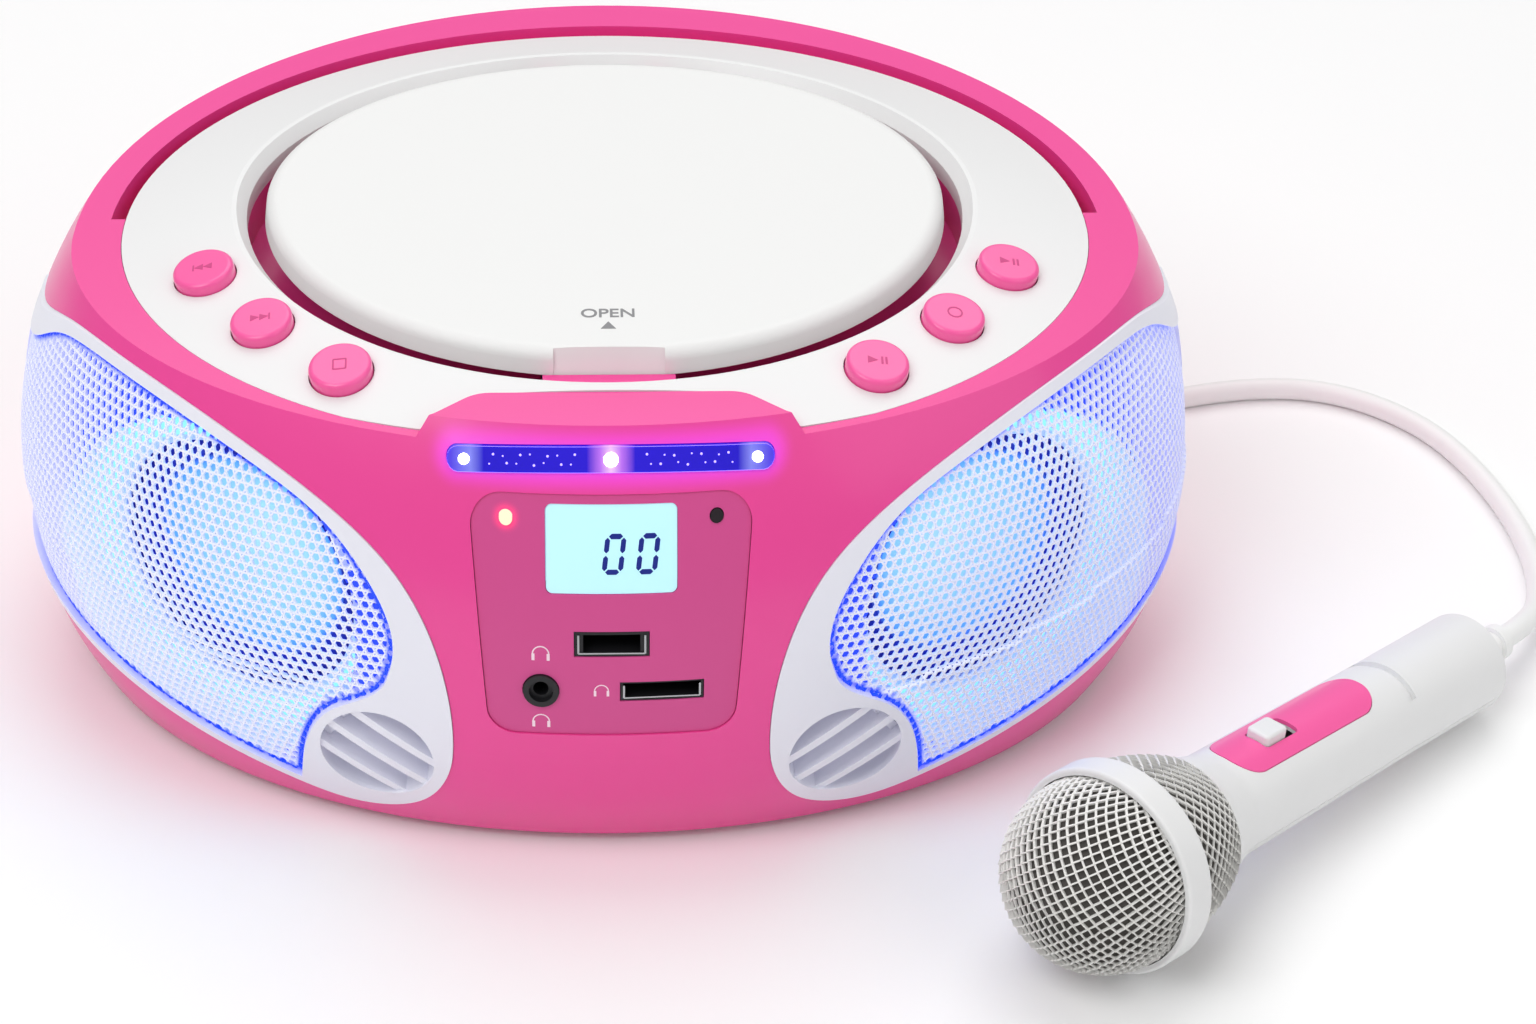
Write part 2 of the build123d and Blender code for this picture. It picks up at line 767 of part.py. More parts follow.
def make_lid():
    """Hollow lid with its finger tab, hinge knuckle and clamp cage."""
    body = loft([Pos(0, 0, lid_low) * lid_oval(), Pos(0, 0, lid_high) * lid_oval(0.8)])
    body = fillet(body.edges().sort_by(Axis.Z)[-2:], lid_roll)
    inside = loft([Pos(0, 0, lid_low - 0.01) * lid_oval(lid_wall),
                   Pos(0, 0, lid_high - lid_wall) * lid_oval(lid_wall + lid_taper)])
    body -= inside
    backing = Pos(0, lid_y - lid_front + tab_depth + 2.2, (lid_low + lid_high - 1) / 2)
    backing *= Box(2 * tab_half_width + 4, 4.4, lid_high - lid_low - 1)
    body += backing
    scoop = Box(2 * tab_half_width, 20, 30)
    scoop = Pos(0, lid_y - lid_front + tab_depth, lid_high) * Rot(-tab_lean, 0, 0) * Pos(0, -10, 0) * scoop
    body -= scoop
    knuckle = Rot(0, 90, 0) * cylinder(knuckle_radius, -knuckle_half_length, knuckle_half_length)
    web = Pos(0, 0, (lid_high - lid_wall - hinge_z) / 2)
    web *= Box(2 * knuckle_half_length, 2 * knuckle_radius, lid_high - lid_wall - hinge_z)
    for side in (-1, 1):
        x = side * (knuckle_half_length + slide_gap + ear_thickness / 2)
        gap = Box(ear_thickness + 2 * slide_gap, 12, 2 * (lid_high - lid_wall - hinge_z))
        body -= Pos(x, hinge_y, hinge_z) * gap
    body += Pos(0, hinge_y, hinge_z) * (knuckle + web)
    body -= Pos(0, hinge_y, hinge_z) * Rot(0, 90, 0) * cylinder(hinge_pin_radius + running_gap, -30, 30)
    cage = ring(clamp_cage_radius, clamp_cage_radius - 1.5, clamp_cage_low, lid_high - lid_wall + 0.1)
    cage += ring(clamp_cage_radius, clamp_neck_radius + slide_gap, clamp_cage_low, clamp_cage_low + 1.5)
    body += Pos(0, disc_y, 0) * cage
    return body


def make_clamp():
    """Clamping disc that hangs in the lid's cage and turns with the disc."""
    top = clamp_low + clamp_thickness
    flange_low = clamp_cage_low + 1.5 + slide_gap
    puck = cylinder(clamp_radius, clamp_low, top)
    puck += cylinder(clamp_neck_radius, top - 0.1, flange_low + 0.1)
    puck += cylinder(clamp_flange_radius, flange_low, flange_low + 1.5)
    puck -= cylinder(spindle_nose_radius + 0.8, clamp_low - 1, clamp_low + 1.4)
    return Pos(0, disc_y, 0) * puck


def make_hinge_pin():
    """Steel pin of the lid's hinge."""
    pin = cylinder(hinge_pin_radius, -hinge_pin_half_length, hinge_pin_half_length)
    return Pos(0, hinge_y, hinge_z) * Rot(0, 90, 0) * pin


# ---------------------------------------------------------------- buttons
def make_button():
    """Button with a domed cap, a collar under the deck and a stem."""
    cap = cylinder(button_radius, -button_body, button_stand)
    cap = fillet(cap.edges().sort_by(Axis.Z)[-1], 1.2)
    collar = cylinder(button_radius + 1.5, -button_body - 1.2, -button_body)
    stem = cylinder(1.5, -button_stem, -button_body - 1)
    return cap + collar + stem


def make_button_boards():
    """Two curved-in boards under the buttons, each with three switches and two posts."""
    body = []
    for side in (-1, 1):
        names = ["button_back", "button_next", "button_stop"]
        if side > 0:
            names = ["button_play", "button_mode", "button_pause"]
        ends = [button_frame(name) * Pos(0, 0, -button_drop) for name in (names[0], names[2])]
        start = ends[0].position
        finish = ends[1].position
        middle = (start + finish) / 2 + Vector(side * board_shift, -board_shift, 0)
        length = (finish - start).length + 2 * button_radius
        heading = degrees(atan2(finish.Y - start.Y, finish.X - start.X))
        place = Pos(middle.X, middle.Y, middle.Z) * Rot(top_tilt, 0, 0) * Rot(0, 0, heading)
        board = place * Pos(0, 0, -board_thickness / 2) * Box(length, button_board_width, board_thickness)
        for name in names:
            switch = button_frame(name) * Pos(0, 0, -button_drop) * Box(6, 6, 2 * button_switch)
            roof = place * Pos(0, 0, 30 - board_thickness / 2) * Box(200, 60, 60)
            board += switch & roof
        body.append(board)
    return body


# ---------------------------------------------------------------- disc drive
def make_chassis():
    """Metal drive plate with the rod posts and the sled gear's axle."""
    length = chassis_back_y - chassis_front_y
    plate = Pos(0, (chassis_back_y + chassis_front_y) / 2, chassis_high - chassis_thickness / 2)
    plate *= fillet(Box(2 * chassis_half_width, length, chassis_thickness).edges().filter_by(Axis.Z), 6)
    for x in (-rod_x, rod_x):
        for y in (rod_front_y + post_length / 2, rod_back_y - post_length / 2):
            height = rod_z + rod_radius + 0.5 - chassis_high
            plate += Pos(x, y, chassis_high + height / 2 - 0.1) * Box(4, post_length, height)
        rod = Pos(x, 0, rod_z) * Rot(90, 0, 0) * cylinder(rod_radius + running_gap, -100, 100)
        plate -= rod
    plate += boss(sled_gear_x(), gear_y, 2.5, chassis_high - 0.1, gear_low() - running_gap)
    axle_top = gear_low() + gear_thickness + 0.3
    plate += boss(sled_gear_x(), gear_y, gear_axle_radius, chassis_high - 0.1, axle_top)
    plate -= boss(0, disc_y, hub_radius + 0.5, chassis_high - 10, chassis_high + 10)
    return plate


def gear_low():
    """Underside of the sled gear."""
    return chassis_high + 0.9


def rack_line_x():
    """Pitch line of the rack on the pickup's left side."""
    return -pickup_half_width - 3.0


def sled_gear_x():
    """Axis of the sled gear."""
    return rack_line_x() - gear_module * gear_teeth / 2


def tooth(half_root, half_tip, low, high, start):
    """Tooth profile pointing along +X from the root line."""
    tip = start + low + high
    points = [(start, -half_root), (tip, -half_tip), (tip, half_tip), (start, half_root)]
    return make_face(Polyline(*points, close=True))


def make_teeth_widths():
    """Half widths of a tooth at its root and tip."""
    middle = tooth_share * pi * gear_module / 2
    return middle + 1.25 * gear_module * tan(radians(20)), middle - gear_module * tan(radians(20))


def make_pickup():
    """Optical pickup with its lens, rod bores and a rack."""
    low = chassis_high + slide_gap
    high = well_floor - 0.8
    width = 2 * pickup_half_width
    body = Pos(0, pickup_y, (low + high) / 2) * Box(width, 2 * pickup_half_length, high - low)
    body += boss(0, pickup_y, lens_radius, high - 0.1, high + 1.2)
    half_root, half_tip = make_teeth_widths()
    pitch = pi * gear_module
    root_x = rack_line_x() + 1.25 * gear_module
    front_y = pickup_y - pickup_half_length
    centre_z = gear_low() + gear_thickness / 2
    inner_x = -pickup_half_width + 0.2
    strip = Box(inner_x - root_x, rack_back_y - front_y, gear_thickness)
    body += Pos((root_x + inner_x) / 2, (rack_back_y + front_y) / 2, centre_z) * strip
    face = tooth(half_root, half_tip, 1.25 * gear_module, gear_module, -0.2)
    for index in range(int((rack_back_y - gear_y) / pitch)):
        y = gear_y + (index + 0.5) * pitch
        bar = extrude(Pos(root_x, y, gear_low()) * Rot(0, 0, 180) * face, gear_thickness, dir=(0, 0, 1))
        body += bar
    for x in (-rod_x, rod_x):
        body -= Pos(x, 0, rod_z) * Rot(90, 0, 0) * cylinder(rod_radius + running_gap, -100, 100)
    return body


def make_gear():
    """Sled gear in mesh with the rack."""
    half_root, half_tip = make_teeth_widths()
    root = gear_module * (gear_teeth / 2 - 1.25)
    body = cylinder(root, 0, gear_thickness)
    face = tooth(half_root, half_tip, 1.25 * gear_module, gear_module, root - 0.3)
    for index in range(gear_teeth):
        body += Rot(0, 0, 360 / gear_teeth * index) * extrude(face, gear_thickness, dir=(0, 0, 1))
    body -= cylinder(gear_axle_radius + running_gap, -1, gear_thickness + 1)
    return Pos(sled_gear_x(), gear_y, gear_low()) * body


def make_rods():
    """Two steel rods that guide the pickup."""
    rods = []
    for x in (-rod_x, rod_x):
        length = rod_back_y - rod_front_y
        rods.append(Pos(x, rod_back_y, rod_z) * Rot(90, 0, 0) * cylinder(rod_radius, 0, length))
    return rods


def make_grommets():
    """Rubber grommets between the drive plate and the tray."""
    rings = []
    for x in (-chassis_half_width + 6, chassis_half_width - 6):
        for y in (chassis_front_y + 7, chassis_back_y - 7):
            grommet = ring(grommet_radius, 1.6, chassis_high, well_floor - well_wall)
            rings.append(Pos(x, y, 0) * grommet)
    return rings


def make_motor():
    """Spindle motor under the drive plate."""
    low = chassis_high - chassis_thickness - motor_height
    body = cylinder(motor_radius, low, chassis_high - chassis_thickness)
    body = fillet(body.edges().sort_by(Axis.Z)[0], 1.5)
    body -= cylinder(shaft_radius + running_gap, low + 2, 0)
    return Pos(0, disc_y, 0) * body


def make_turntable():
    """Turntable with its centring nose, hub and shaft."""
    body = cylinder(platter_radius, platter_high - platter_thickness, platter_high)
    nose = cylinder(spindle_nose_radius, platter_high - 0.1, platter_high + spindle_nose_height)
    body += chamfer(nose.edges().sort_by(Axis.Z)[-1], 1.0)
    body += cylinder(hub_radius, chassis_high + 0.5, platter_high - platter_thickness + 0.1)
    body += cylinder(shaft_radius, chassis_high - chassis_thickness - 6, chassis_high + 1)
    return Pos(0, disc_y, 0) * body


# ---------------------------------------------------------------- front panel
def front_box(x_from, x_to, z_from, z_to, grow=0.0, corner=0.0):
    """Window prism of a rounded rectangle in the front."""
    points = [
        (x_from - grow, z_from - grow),
        (x_to + grow, z_from - grow),
        (x_to + grow, z_to + grow),
        (x_from - grow, z_to + grow),
    ]
    return front_window(outline(points, corner))


def front_round(x, z, radius):
    """Window prism of a round hole in the front."""
    return front_window(Plane.XZ * Pos(x, z) * Circle(radius))


def to_board(near, window):
    """Solid behind the panel from an inset back to the front board."""
    ahead = Pos(0, front_board_y - 100, 0) * Box(400, 200, 400)
    return cabinet(near) & window & ahead


def usb_window(grow=0.0):
    """Window of the USB port."""
    return front_box(-usb_width / 2, usb_width / 2, usb_z - usb_height / 2, usb_z + usb_height / 2, grow)


def card_window(grow=0.0):
    """Window of the card slot."""
    half = card_width / 2
    return front_box(card_x - half, card_x + half, card_z - card_height / 2, card_z + card_height / 2, grow)


def lcd_window(grow=0.0):
    """Window of the display."""
    return front_box(-lcd_half_width, lcd_half_width, lcd_low_z, lcd_high_z, grow, 1.5)


def make_panel():
    """Control panel with its flange and cut-outs."""
    panel = skin(panel_recess, wall + joint_gap, front_window(panel_face()))
    panel += skin(wall + joint_gap, wall + joint_gap + flange, front_window(panel_face(panel_flange)))
    panel -= lcd_window(joint_gap)
    panel -= usb_window(joint_gap)
    panel -= card_window(joint_gap)
    panel -= front_round(phones_x, phones_z, phones_collar_radius + joint_gap)
    panel -= front_round(led_x, led_z, led_radius + joint_gap)
    panel -= front_round(-led_x, led_z, sensor_radius + joint_gap)
    return panel


def make_lcd():
    """Display: lens in the window and backlight box behind it."""
    lens = skin(panel_recess + 0.3, wall + 2 * flange, lcd_window())
    return lens + to_board(wall + joint_gap + flange, lcd_window(2.5))


def make_usb():
    """USB socket with its metal shell and tongue."""
    shell = to_board(panel_recess + 0.2, usb_window())
    mouth = front_box(-usb_width / 2 + 2, usb_width / 2 - 2, usb_z - 2.6, usb_z + 2.3)
    cavity = mouth & (Pos(0, front_board_y - 1.5 - 100, 0) * Box(400, 200, 400))
    tongue = Pos(0, front_board_y - port_tongue / 2, usb_z + 1.1) * Box(usb_width - 6, port_tongue, 1.9)
    return shell - cavity + tongue


def make_card_slot():
    """Memory card slot."""
    shell = to_board(panel_recess + 0.2, card_window())
    half = card_width / 2 - port_skin
    rise = card_height / 2 - 0.3
    mouth = front_box(card_x - half, card_x + half, card_z - rise, card_z + rise)
    return shell - (mouth & (Pos(0, front_board_y - 1.5 - 100, 0) * Box(400, 200, 400)))


def make_phones():
    """Headphone socket with its collar."""
    barrel = to_board(-0.2, front_round(phones_x, phones_z, phones_collar_radius))
    bore = front_round(phones_x, phones_z, phones_hole_radius)
    stop = Pos(0, front_board_y - 1.5 - 100, 0) * Box(400, 200, 400)
    well = skin(-2.0, 1.2, front_round(phones_x, phones_z, phones_hole_radius + 1))
    return barrel - (bore & stop) - well


def make_front_board():
    """Circuit board behind the control panel."""
    points = [
        (-panel_low_half + 2, panel_low_z + 3),
        (panel_low_half - 2, panel_low_z + 3),
        (panel_top_half - 3, panel_top_z - 2),
        (-panel_top_half + 3, panel_top_z - 2),
    ]
    return front_prism(outline(points), front_board_y, front_board_y + board_thickness)


def make_board_posts():
    """Posts that hold the front board on the panel's flange."""
    posts = Part()
    for x, z in ((-panel_low_half + 5, panel_low_z + 6), (panel_low_half - 5, panel_low_z + 6)):
        posts += to_board(wall + 1, front_round(x, z, 2.2))
    return posts


def make_light_bar():
    """Clear bar with a hollow back for its row of lamps."""
    lens = skin(-0.6, bar_pocket - 0.05, front_window(bar_face()))
    return lens - skin(0.8, bar_pocket + 1, front_window(bar_face(-1.0)))


# ---------------------------------------------------------------- inside
def make_main_board():
    """Main board with its large components."""
    length = board_back_y - board_front_y
    board = Pos(0, (board_back_y + board_front_y) / 2, board_z + board_thickness / 2)
    board *= Box(2 * board_half_length, length, board_thickness)
    top = board_z + board_thickness
    for x, y, radius, height in ((-30, -30, 6.5, 16), (-30, -46, 6.5, 16), (-12, -24, 4, 11), (34, -56, 4, 11)):
        board += boss(x, y, radius, top - 0.1, top + height)
    board += Pos(10, -40, top + 1) * Box(14, 14, 2.2)
    board += Pos(34, -32, top + 9) * Box(4, 30, 18.2)
    return board


def make_transformer():
    """Mains transformer with its coil between the laminations."""
    length, depth, height = transformer_size
    low = foot_height + wall
    core = Pos(transformer_x, transformer_y, low + height / 2) * Box(length, depth * 0.55, height)
    coil = Box(length * 0.62, depth, height - 10)
    coil = fillet(coil.edges().filter_by(Axis.Z), 5)
    return core + Pos(transformer_x, transformer_y, low + height / 2) * coil


def make_battery_box():
    """Battery compartment over its door."""
    low = foot_height + wall
    outside = Box(battery_length, battery_width, battery_height)
    inside = Box(battery_length - 2 * battery_wall - 2, battery_width - 2 * battery_wall - 2, battery_height)
    box = outside - Pos(0, 0, -battery_wall) * inside
    lip = Box(battery_length + 6, battery_width + 6, battery_wall)
    lip -= Box(battery_length - 2, battery_width - 2, 3 * battery_wall)
    box += Pos(0, 0, -(battery_height - battery_wall) / 2) * lip
    return Pos(battery_x, battery_y, low + battery_height / 2) * box


def make_battery_door():
    """Battery door, flush with the bottom."""
    gap = 2 * slide_gap
    door = Box(battery_length - gap, battery_width - gap, wall)
    for index in range(5):
        groove = Pos(-battery_length / 2 + 12 + 4 * index, 0, -wall / 2) * Box(1.6, 30, 1.4)
        door -= groove
    return Pos(battery_x, battery_y, foot_height + wall / 2) * door


def back_axis(x, z):
    """Frame on the back's socket plate, its Z axis out of the back."""
    return Pos(x, io_face_y, z) * Rot(-90, 0, 0)


def make_jacks():
    """Two microphone sockets with hexagonal nuts."""
    jacks = []
    for x in jack_xs:
        barrel = cylinder(jack_barrel, -jack_length, 0.1)
        nut = extrude(RegularPolygon(jack_nut_radius, 6), jack_nut_height)
        collar = cylinder(jack_barrel + 2, -wall - 3, -wall)
        bore = cylinder(jack_bore, -jack_length + 2, 10)
        jacks.append(back_axis(x, jack_z) * (barrel + nut + collar - bore))
    return jacks


def make_inlet():
    """Mains inlet with two pins in a rounded well."""
    block = Box(inlet_width, inlet_height, inlet_depth)
    rim = Pos(0, 0, inlet_depth / 2 + 0.75) * Box(inlet_width + 4, inlet_height + 4, 1.5)
    cavity = Box(inlet_width - 4, inlet_height - 3, inlet_depth)
    cavity = fillet(cavity.edges().filter_by(Axis.Z), 3.5)
    body = block + rim - Pos(0, 0, 3.5) * cavity
    for x in (-4.3, 4.3):
        body += Pos(x, 0, -2) * Cylinder(1.1, inlet_depth - 6)
    return back_axis(inlet_x, jack_z) * Pos(0, 0, -inlet_depth / 2) * body


def make_power_switch():
    """Slide of the power switch in its slot."""
    length = switch_slot_length - switch_travel - 2 * slide_gap
    knob = Box(length, switch_slot_width - 2 * slide_gap, wall + 2.5)
    plate = Box(switch_slot_length + 5, switch_slot_width + 4, 1.2)
    body = Pos(-switch_travel / 2, 0, 0) * (Pos(0, 0, 0) * knob + Pos(0, 0, -wall / 2 - 1.25 - 0.5) * plate)
    return back_axis(switch_x, jack_z) * Pos(0, 0, -wall / 2 + 1.15) * body


def make_feet():
    """Four rubber feet."""
    foot = cylinder(foot_radius, 0, foot_height + foot_seat)
    foot = fillet(foot.edges().sort_by(Axis.Z)[0], 0.8)
    return [Pos(x, y, 0) * foot for x in (-foot_x, foot_x) for y in (-foot_y, foot_y)]


def make_screws():
    """Casing screws in the underside."""
    screws = []
    for x, y in screw_places:
        screw = boss(x, y, screw_radius, foot_height, foot_height + screw_head)
        screw += boss(x, y, screw_radius / 2, foot_height + screw_head - 0.1, seam_z - 5)
        screws.append(screw)
    return screws


# ---------------------------------------------------------------- microphone
mic_dip = degrees(asin((band_radius - tail_radius) / (tail_end - band_end)))
mic_z = band_radius * cos(radians(mic_dip)) + band_end * sin(radians(mic_dip)) + 0.05
MIC = Pos(mic_x, mic_y, mic_z) * Rot(0, 0, mic_yaw) * Rot(0, mic_dip, 0)


def head_profile(inset=0.0):
    """Closed half profile of the grille ball, down to its neck."""
    radius = ball_radius - inset
    start = band_start - radius
    dome = CenterArc((band_start, 0), radius, 90, arc_size=90)
    side = Line((band_start, radius), (band_end, radius))
    middle = ((band_end + neck_start) / 2 + 2, (radius + neck_radius - inset) / 2 + 1.2)
    fall = ThreePointArc((band_end, radius), middle, (neck_start, neck_radius - inset))
    end = Polyline((neck_start, neck_radius - inset), (neck_start, 0), (start, 0))
    return make_face([dome, side, fall, end])


def make_mic_grille():
    """Hollow wire ball of the microphone."""
    return revolve(head_profile(), Axis.X) - revolve(head_profile(ball_wall), Axis.X)


def make_mic_ring():
    """Band round the ball."""
    band = ring(band_radius, ball_radius + running_gap, band_start + 0.5, band_end)
    band = fillet(band.edges().filter_by(GeomType.CIRCLE).sort_by(SortBy.RADIUS)[-2:], 0.8)
    return Rot(0, 90, 0) * band


def handle_profile(inset=0.0):
    """Closed half profile of the handle."""
    front = neck_start + joint_gap
    flare = Spline(
        (front, neck_radius - inset),
        ((neck_start + handle_start) / 2, (neck_radius + handle_radius) / 2 - 0.6 - inset),
        (handle_start, handle_radius - inset),
        tangents=((0.75, -0.6), (1, 0)),
    )
    back = tail_end - inset
    close = Polyline(
        (handle_start, handle_radius - inset),
        (tail_start, tail_radius - inset),
        (back - 3, tail_radius - inset),
        (back, tail_radius - 3 - inset),
        (back, 0),
        (front, 0),
        (front, neck_radius - inset),
    )
    return make_face([flare, close])


def mic_half(upper):
    """Upper or lower half of the handle's casing."""
    body = revolve(handle_profile(), Axis.X) - revolve(handle_profile(mic_wall), Axis.X)
    front_wall = cylinder(neck_radius - mic_wall + 0.5, neck_start + joint_gap, neck_start + 2.2)
    body += Rot(0, 90, 0) * front_wall
    exit_bore = Rot(0, 90, 0) * cylinder(relief_radius - 1.2, tail_end - 10, tail_end + 5)
    body -= exit_bore
    gap = 0 if upper else joint_gap
    block = Box(400, 100, 100)
    shift = 50 + mic_split if upper else mic_split - 50 - gap
    return body & (Pos(0, 0, shift) * block)


def plate_prism(grow, low, high):
    """Prism of the coloured plate on top of the handle."""
    length = plate_end - plate_start
    face = RectangleRounded(length + 2 * grow, 2 * (plate_half_width + grow), plate_half_width * 0.9 + grow)
    return prism(Pos((plate_start + plate_end) / 2, 0) * face, low, high)


def slider_prism(grow, travel, low, high):
    """Prism of the switch's knob or slot on top of the handle."""
    length = slider_length + travel + 2 * grow
    face = RectangleRounded(length, slider_width + 2 * grow, 1.2)
    return prism(Pos(slider_u + travel / 2, 0) * face, low, high)


def handle_skin(low_inset, high_inset):
    """Layer of the handle's surface between two insets."""
    return revolve(handle_profile(low_inset), Axis.X) - revolve(handle_profile(high_inset), Axis.X)


def make_mic_upper():
    """Upper half of the handle with its seat for the plate and the slot."""
    body = mic_half(True)
    body -= handle_skin(-1, plate_depth) & plate_prism(joint_gap, 0, 30)
    body -= slider_prism(slide_gap + 0.3, slider_travel, 0, 30)
    slot = Pos((tail_start + slot_width / 2), 0, 20) * Box(slot_width, 2 * slot_half_length, 40)
    body -= handle_skin(-1, slot_depth) & slot
    return body


def make_mic_plate():
    """Coloured plate with the switch's slot."""
    plate = handle_skin(-0.2, plate_depth) & plate_prism(0, 5, 30)
    return plate - slider_prism(slide_gap, slider_travel, 0, 30)


def make_mic_switch():
    """Knob of the microphone's switch with its foot."""
    top = handle_radius + slider_rise
    knob = slider_prism(0, 0, handle_radius - mic_wall - 2.0, top)
    knob = fillet(knob.edges().sort_by(Axis.Z)[-8:], 0.8)
    foot = slider_prism(1.6, 0, handle_radius - mic_wall - 3.4, handle_radius - mic_wall - 1.8)
    return knob + foot


def make_relief():
    """Ribbed strain relief at the tail."""
    body = Rot(0, 90, 0) * Pos(0, 0, tail_end + relief_length / 2 - 1)
    body *= Cone(relief_radius, relief_tip_radius, relief_length - 2)
    body += Rot(0, 90, 0) * cylinder(relief_radius - 1.3, tail_end - 6, tail_end + 1)
    inner_wall = tail_end - mic_wall
    tip = tail_end + relief_length
    body += Rot(0, 90, 0) * cylinder(relief_radius + 0.6, inner_wall - 1.6, inner_wall - 0.1)
    body += Rot(0, 90, 0) * cylinder(relief_radius + 0.5, tip - 4.5, tip - 1.5)
    body += Rot(0, 90, 0) * cylinder(relief_tip_radius, tip - 2, tip)
    return body


# ---------------------------------------------------------------- cord
coil_out_radius = coil_turn_radius + cord_radius * coil_layers
coil_in_radius = coil_turn_radius - cord_radius * coil_layers
coil_outer_row = coil_turn_radius + cord_radius * (coil_layers - 1)
floor_row_z = cord_radius + 0.05
top_row_z = floor_row_z + 2 * cord_radius * (coil_rows - 1)


def mic_point(u):
    """World point on the microphone's axis."""
    return (MIC * Pos(u, 0, 0)).position


relief_end = mic_point(tail_end + relief_length)
relief_ahead = mic_point(tail_end + relief_length + 11)
plug_tail_y = io_face_y + jack_nut_height + slide_gap + plug_grip_length + plug_tail_length

MIC_CORD = [
    (relief_end.X, relief_end.Y, relief_end.Z),
    (relief_ahead.X, relief_ahead.Y, relief_ahead.Z),
    (243.5, -9.0, 5.0),
    (247.5, 17.0, floor_row_z),
    (243.0, 50.0, floor_row_z),
    (231.0, 81.0, floor_row_z),
    (208.0, 100.0, floor_row_z),
    (182.0, 101.5, floor_row_z),
    (154.0, 93.0, floor_row_z),
    (126.0, 101.0, floor_row_z),
    (104.0, 122.0, floor_row_z),
    (80.0, 143.0, floor_row_z),
    (52.0, 157.0, floor_row_z),
    (22.0, coil_y - coil_outer_row, floor_row_z),
    (coil_x, coil_y - coil_outer_row, floor_row_z),
]

LEAD_CORD = [
    (jack_xs[0], plug_tail_y, jack_z),
    (jack_xs[0], plug_tail_y + 18, jack_z),
    (49.0, 184.0, 34.0),
    (44.0, 205.0, 22.0),
    (34.0, 227.0, top_row_z + 1),
    (16.0, coil_y + coil_outer_row, top_row_z),
    (coil_x, coil_y + coil_outer_row, top_row_z),
]


def bend_radii(points):
    """Bend radius at each inner point, from the shorter run beside it."""
    radii = []
    for before, here, after in zip(points, points[1:], points[2:]):
        run_in = Vector(*here) - Vector(*before)
        run_out = Vector(*after) - Vector(*here)
        turn = radians(run_in.get_angle(run_out))
        radii.append(0.45 * min(run_in.length, run_out.length) / tan(turn / 2))
    return radii


def tube(name, points):
    """Cord along straight runs joined by tangent arcs."""
    radii = bend_radii(points)
    path = FilletPolyline(*points, radius=radii)
    start = Vector(*points[0])
    section = Plane(origin=start, z_dir=Vector(*points[1]) - start) * Circle(cord_radius)
    body = sweep(section, path=path)
    print(name, "length", round(path.length, 1), "least radius", round(min(radii), 1),
          "volume share", round(body.volume / (pi * cord_radius**2 * path.length), 4))
    return body


def make_coil():
    """Outer shape of the coiled part of the cord."""
    height = 2 * cord_radius * coil_rows
    low = floor_row_z - cord_radius
    coil = ring(coil_out_radius, coil_in_radius, low, low + height)
    return Pos(coil_x, coil_y, 0) * coil


def make_plug():
    """Plug with its grip and tapered tail."""
    tip_y = jack_nut_height + slide_gap
    body = cylinder(plug_shaft_radius, tip_y - plug_shaft_length, tip_y + 0.5)
    body = chamfer(body.edges().sort_by(Axis.Z)[0], 1.4)
    grip = cylinder(plug_grip_radius, tip_y, tip_y + plug_grip_length)
    body += fillet(grip.edges().filter_by(GeomType.CIRCLE), 1.2)
    tail = Pos(0, 0, tip_y + plug_grip_length + plug_tail_length / 2 - 0.05)
    body += tail * Cone(4.6, 3.4, plug_tail_length + 0.1)
    return back_axis(jack_xs[0], jack_z) * body


# ---------------------------------------------------------------- all pieces
casing = make_casing()
add("base_shell", make_base(casing))
add("upper_shell", make_upper(casing))
surround = make_surround() + make_chamber()
grille = skin(grille_inset, wall, grille_window(-joint_gap))
basket = make_basket()
cone = make_cone()
light_ring_top = baffle_thickness + light_ring_thickness
light_ring = ring(light_ring_outer, light_ring_inner, baffle_thickness, light_ring_top)
magnet = cylinder(magnet_radius, -basket_depth - magnet_height, -basket_depth)
add("surround_right", surround)
add("surround_left", mirror_x(surround))
add("grille_right", grille)
add("grille_left", mirror_x(grille))
for side, word in ((1, "right"), (-1, "left")):
    add(f"speaker_basket_{word}", speaker_frame(side) * basket)
add("speaker_cones", [speaker_frame(side) * cone for side in (1, -1)])
add("speaker_magnets", [speaker_frame(side) * magnet for side in (1, -1)])
add("light_rings", [speaker_frame(side) * light_ring for side in (1, -1)])
add("top_deck", TOP * make_deck())
add("disc_well", TOP * make_well())
add("lid_shell", TOP * make_lid())
add("lid_clamp", TOP * make_clamp())
add("lid_hinge_pin", TOP * make_hinge_pin())
button = make_button()
for name in button_places:
    add(name, button_frame(name) * button)
    PARTS["top_deck"] -= button_frame(name) * cylinder(button_radius + slide_gap, -20, 20)
    PARTS["top_deck"] -= button_frame(name) * cylinder(button_radius + 1.5 + slide_gap, -20, -button_body)
add("button_boards", make_button_boards())
add("drive_plate", TOP * make_chassis())
add("drive_grommets", [TOP * piece for piece in make_grommets()])
add("spindle_motor", TOP * make_motor())
add("turntable", TOP * make_turntable())
add("guide_rods", [TOP * piece for piece in make_rods()])
add("pickup", TOP * make_pickup())
add("sled_gear", TOP * make_gear())
add("control_panel", make_panel() + make_board_posts())
add("display", make_lcd())
add("front_board", make_front_board())
add("usb_port", make_usb())
add("card_slot", make_card_slot())
add("headphone_jack", make_phones())
add("power_lamp", to_board(0.0, front_round(led_x, led_z, led_radius)))
add("remote_sensor", to_board(0.2, front_round(-led_x, led_z, sensor_radius)))
add("light_bar", make_light_bar())
add("main_board", make_main_board())
add("transformer", make_transformer())
add("battery_box", make_battery_box())
add("battery_door", make_battery_door())
add("mic_jacks", make_jacks())
add("mains_inlet", make_inlet())
add("power_switch", make_power_switch())
add("rubber_feet", make_feet())
